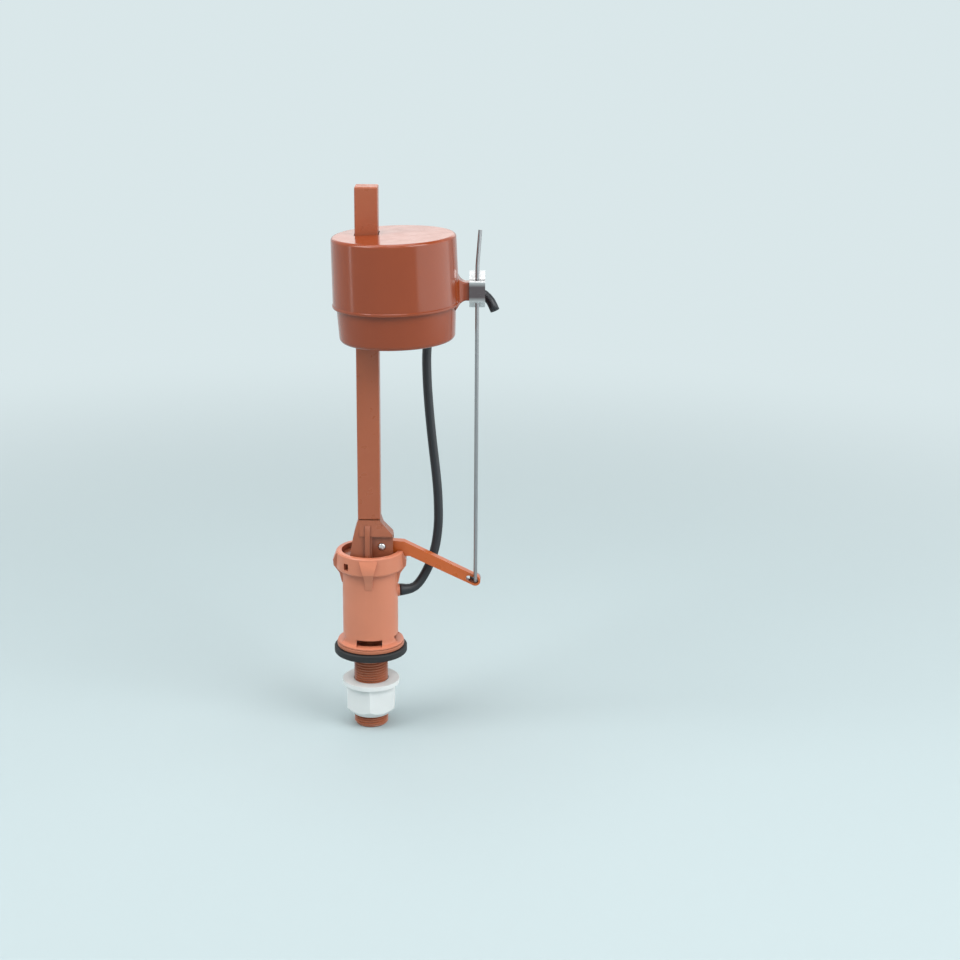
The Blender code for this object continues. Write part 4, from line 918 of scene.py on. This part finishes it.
def make_light():
    """Soft light from all round, and three panels for the gloss on the float's sides and top."""
    panel_light(
        "right_window",
        place=(1.09, -0.16, 0.42),
        aim=(0.03, 0.0, 0.42),
        size=(1.75, 0.9),
        power=6.0,
    )
    softbox("right_softbox", (0.9, -0.7, 1.3), width=0.9, power=14.0)
    softbox("left_softbox", (-0.9, -0.45, 1.2), width=0.9, power=12.5)
    softbox("top_softbox", (-0.1, 0.1, 1.6), width=1.0, power=11.0)
    panel_light(
        "left_strip",
        place=(-0.95, -0.13, 0.32),
        aim=(0.03, 0.0, 0.32),
        size=(0.06, 0.62),
        power=0.31,
    )
    softbox("front_softbox", (0.0, -1.4, 1.55), width=0.8, power=3.5)
    panel_light(
        "back_panel",
        place=(0.03, 1.45, 0.68),
        aim=(0.03, 0.0, 0.3),
        size=(1.4, 0.42),
        power=2.0,
        colour=(1.0, 0.86, 0.80),
    )
    world = bpy.data.worlds.new("pale_room")
    bpy.context.scene.world = world
    world.use_nodes = True
    room = world.node_tree.nodes["Background"]
    room.inputs["Color"].default_value = ROOM_COLOUR
    room.inputs["Strength"].default_value = ROOM_STRENGTH


# The making starts with the camera and the cord
bpy.context.scene.view_settings.view_transform = "Standard"
make_camera()
HOSE_RUBBER = moulded(
    "hose_rubber",
    (0.012, 0.014, 0.018),
    cloud=0.2,
    roughness=(0.35, 0.5),
    peel=0.00001,
    painted_shade=0.2,
)
make_hose(HOSE_RUBBER)

# Plastics, rubber and metals
BODY = moulded("body_plastic", (0.50, 0.16, 0.08), painted_shade=0.7)
SHROUD = moulded("shroud_plastic", (0.64, 0.215, 0.12), roughness=(0.3, 0.42), painted_shade=0.7)
HEAD = moulded("head_plastic", (0.315, 0.094, 0.045), cloud=0.12, painted_shade=0.9)
MAST = moulded("mast_plastic", (0.385, 0.10, 0.042))
LEVER = moulded("lever_plastic", (0.54, 0.11, 0.017))
FLOAT = moulded("float_plastic", (0.285, 0.050, 0.012), cloud=0.08, roughness=(0.13, 0.2), peel=0.000004)
WHITE = moulded(
    "white_plastic",
    (0.80, 0.80, 0.79),
    cloud=0.04,
    roughness=(0.35, 0.5),
    peel=0.00001,
    painted_shade=0.4,
)
RUBBER = moulded(
    "black_rubber",
    (0.012, 0.012, 0.013),
    cloud=0.2,
    roughness=(0.55, 0.7),
    peel=0.00003,
    painted_shade=0.2,
)
STEEL = drawn_metal("drawn_steel", (0.38, 0.38, 0.39), stretch=(900.0, 900.0, 30.0), tarnish=0.4)
# The spring steel's dark colour is partly its own and partly painted shade for the clip's front web
SPRING = drawn_metal("spring_steel", (0.17, 0.14, 0.145), stretch=(30.0, 900.0, 900.0), tarnish=0.3)
PIN_STEEL = drawn_metal("pin_steel", (0.78, 0.78, 0.79), stretch=(900.0, 60.0, 900.0), tarnish=0.15)
BRASS = drawn_metal("turned_brass", (0.72, 0.48, 0.2), stretch=(900.0, 900.0, 900.0), tarnish=0.3)
# Painted highlight on the spring's ears
paint_ear_highlights(SPRING)

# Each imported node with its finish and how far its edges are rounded
dress("shank_gasket", RUBBER, edge=0.0003)
dress("lock_nut", WHITE, edge=0.0005)
dress("inlet_screen", WHITE)
dress("seat_ring", BRASS)
dress("splash_shroud", SHROUD, edge=0.0005)
dress("valve_head", HEAD, edge=0.0004)
dress("head_oring", RUBBER)
dress("mast", MAST, flat=True)
dress("pivot_pin", PIN_STEEL, edge=0.0003)
dress("pin_clip", STEEL)
dress("lever", LEVER, edge=0.0006)
dress("plunger", WHITE)
dress("plunger_oring", RUBBER)
dress("seat_washer", RUBBER)
dress("link_rod", STEEL)
dress("rod_keeper", STEEL)

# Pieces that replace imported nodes, then the studio
make_shank(BODY)
make_float_cap(FLOAT)
make_float_cup(FLOAT)
make_spring(SPRING)
make_floor()
make_light()
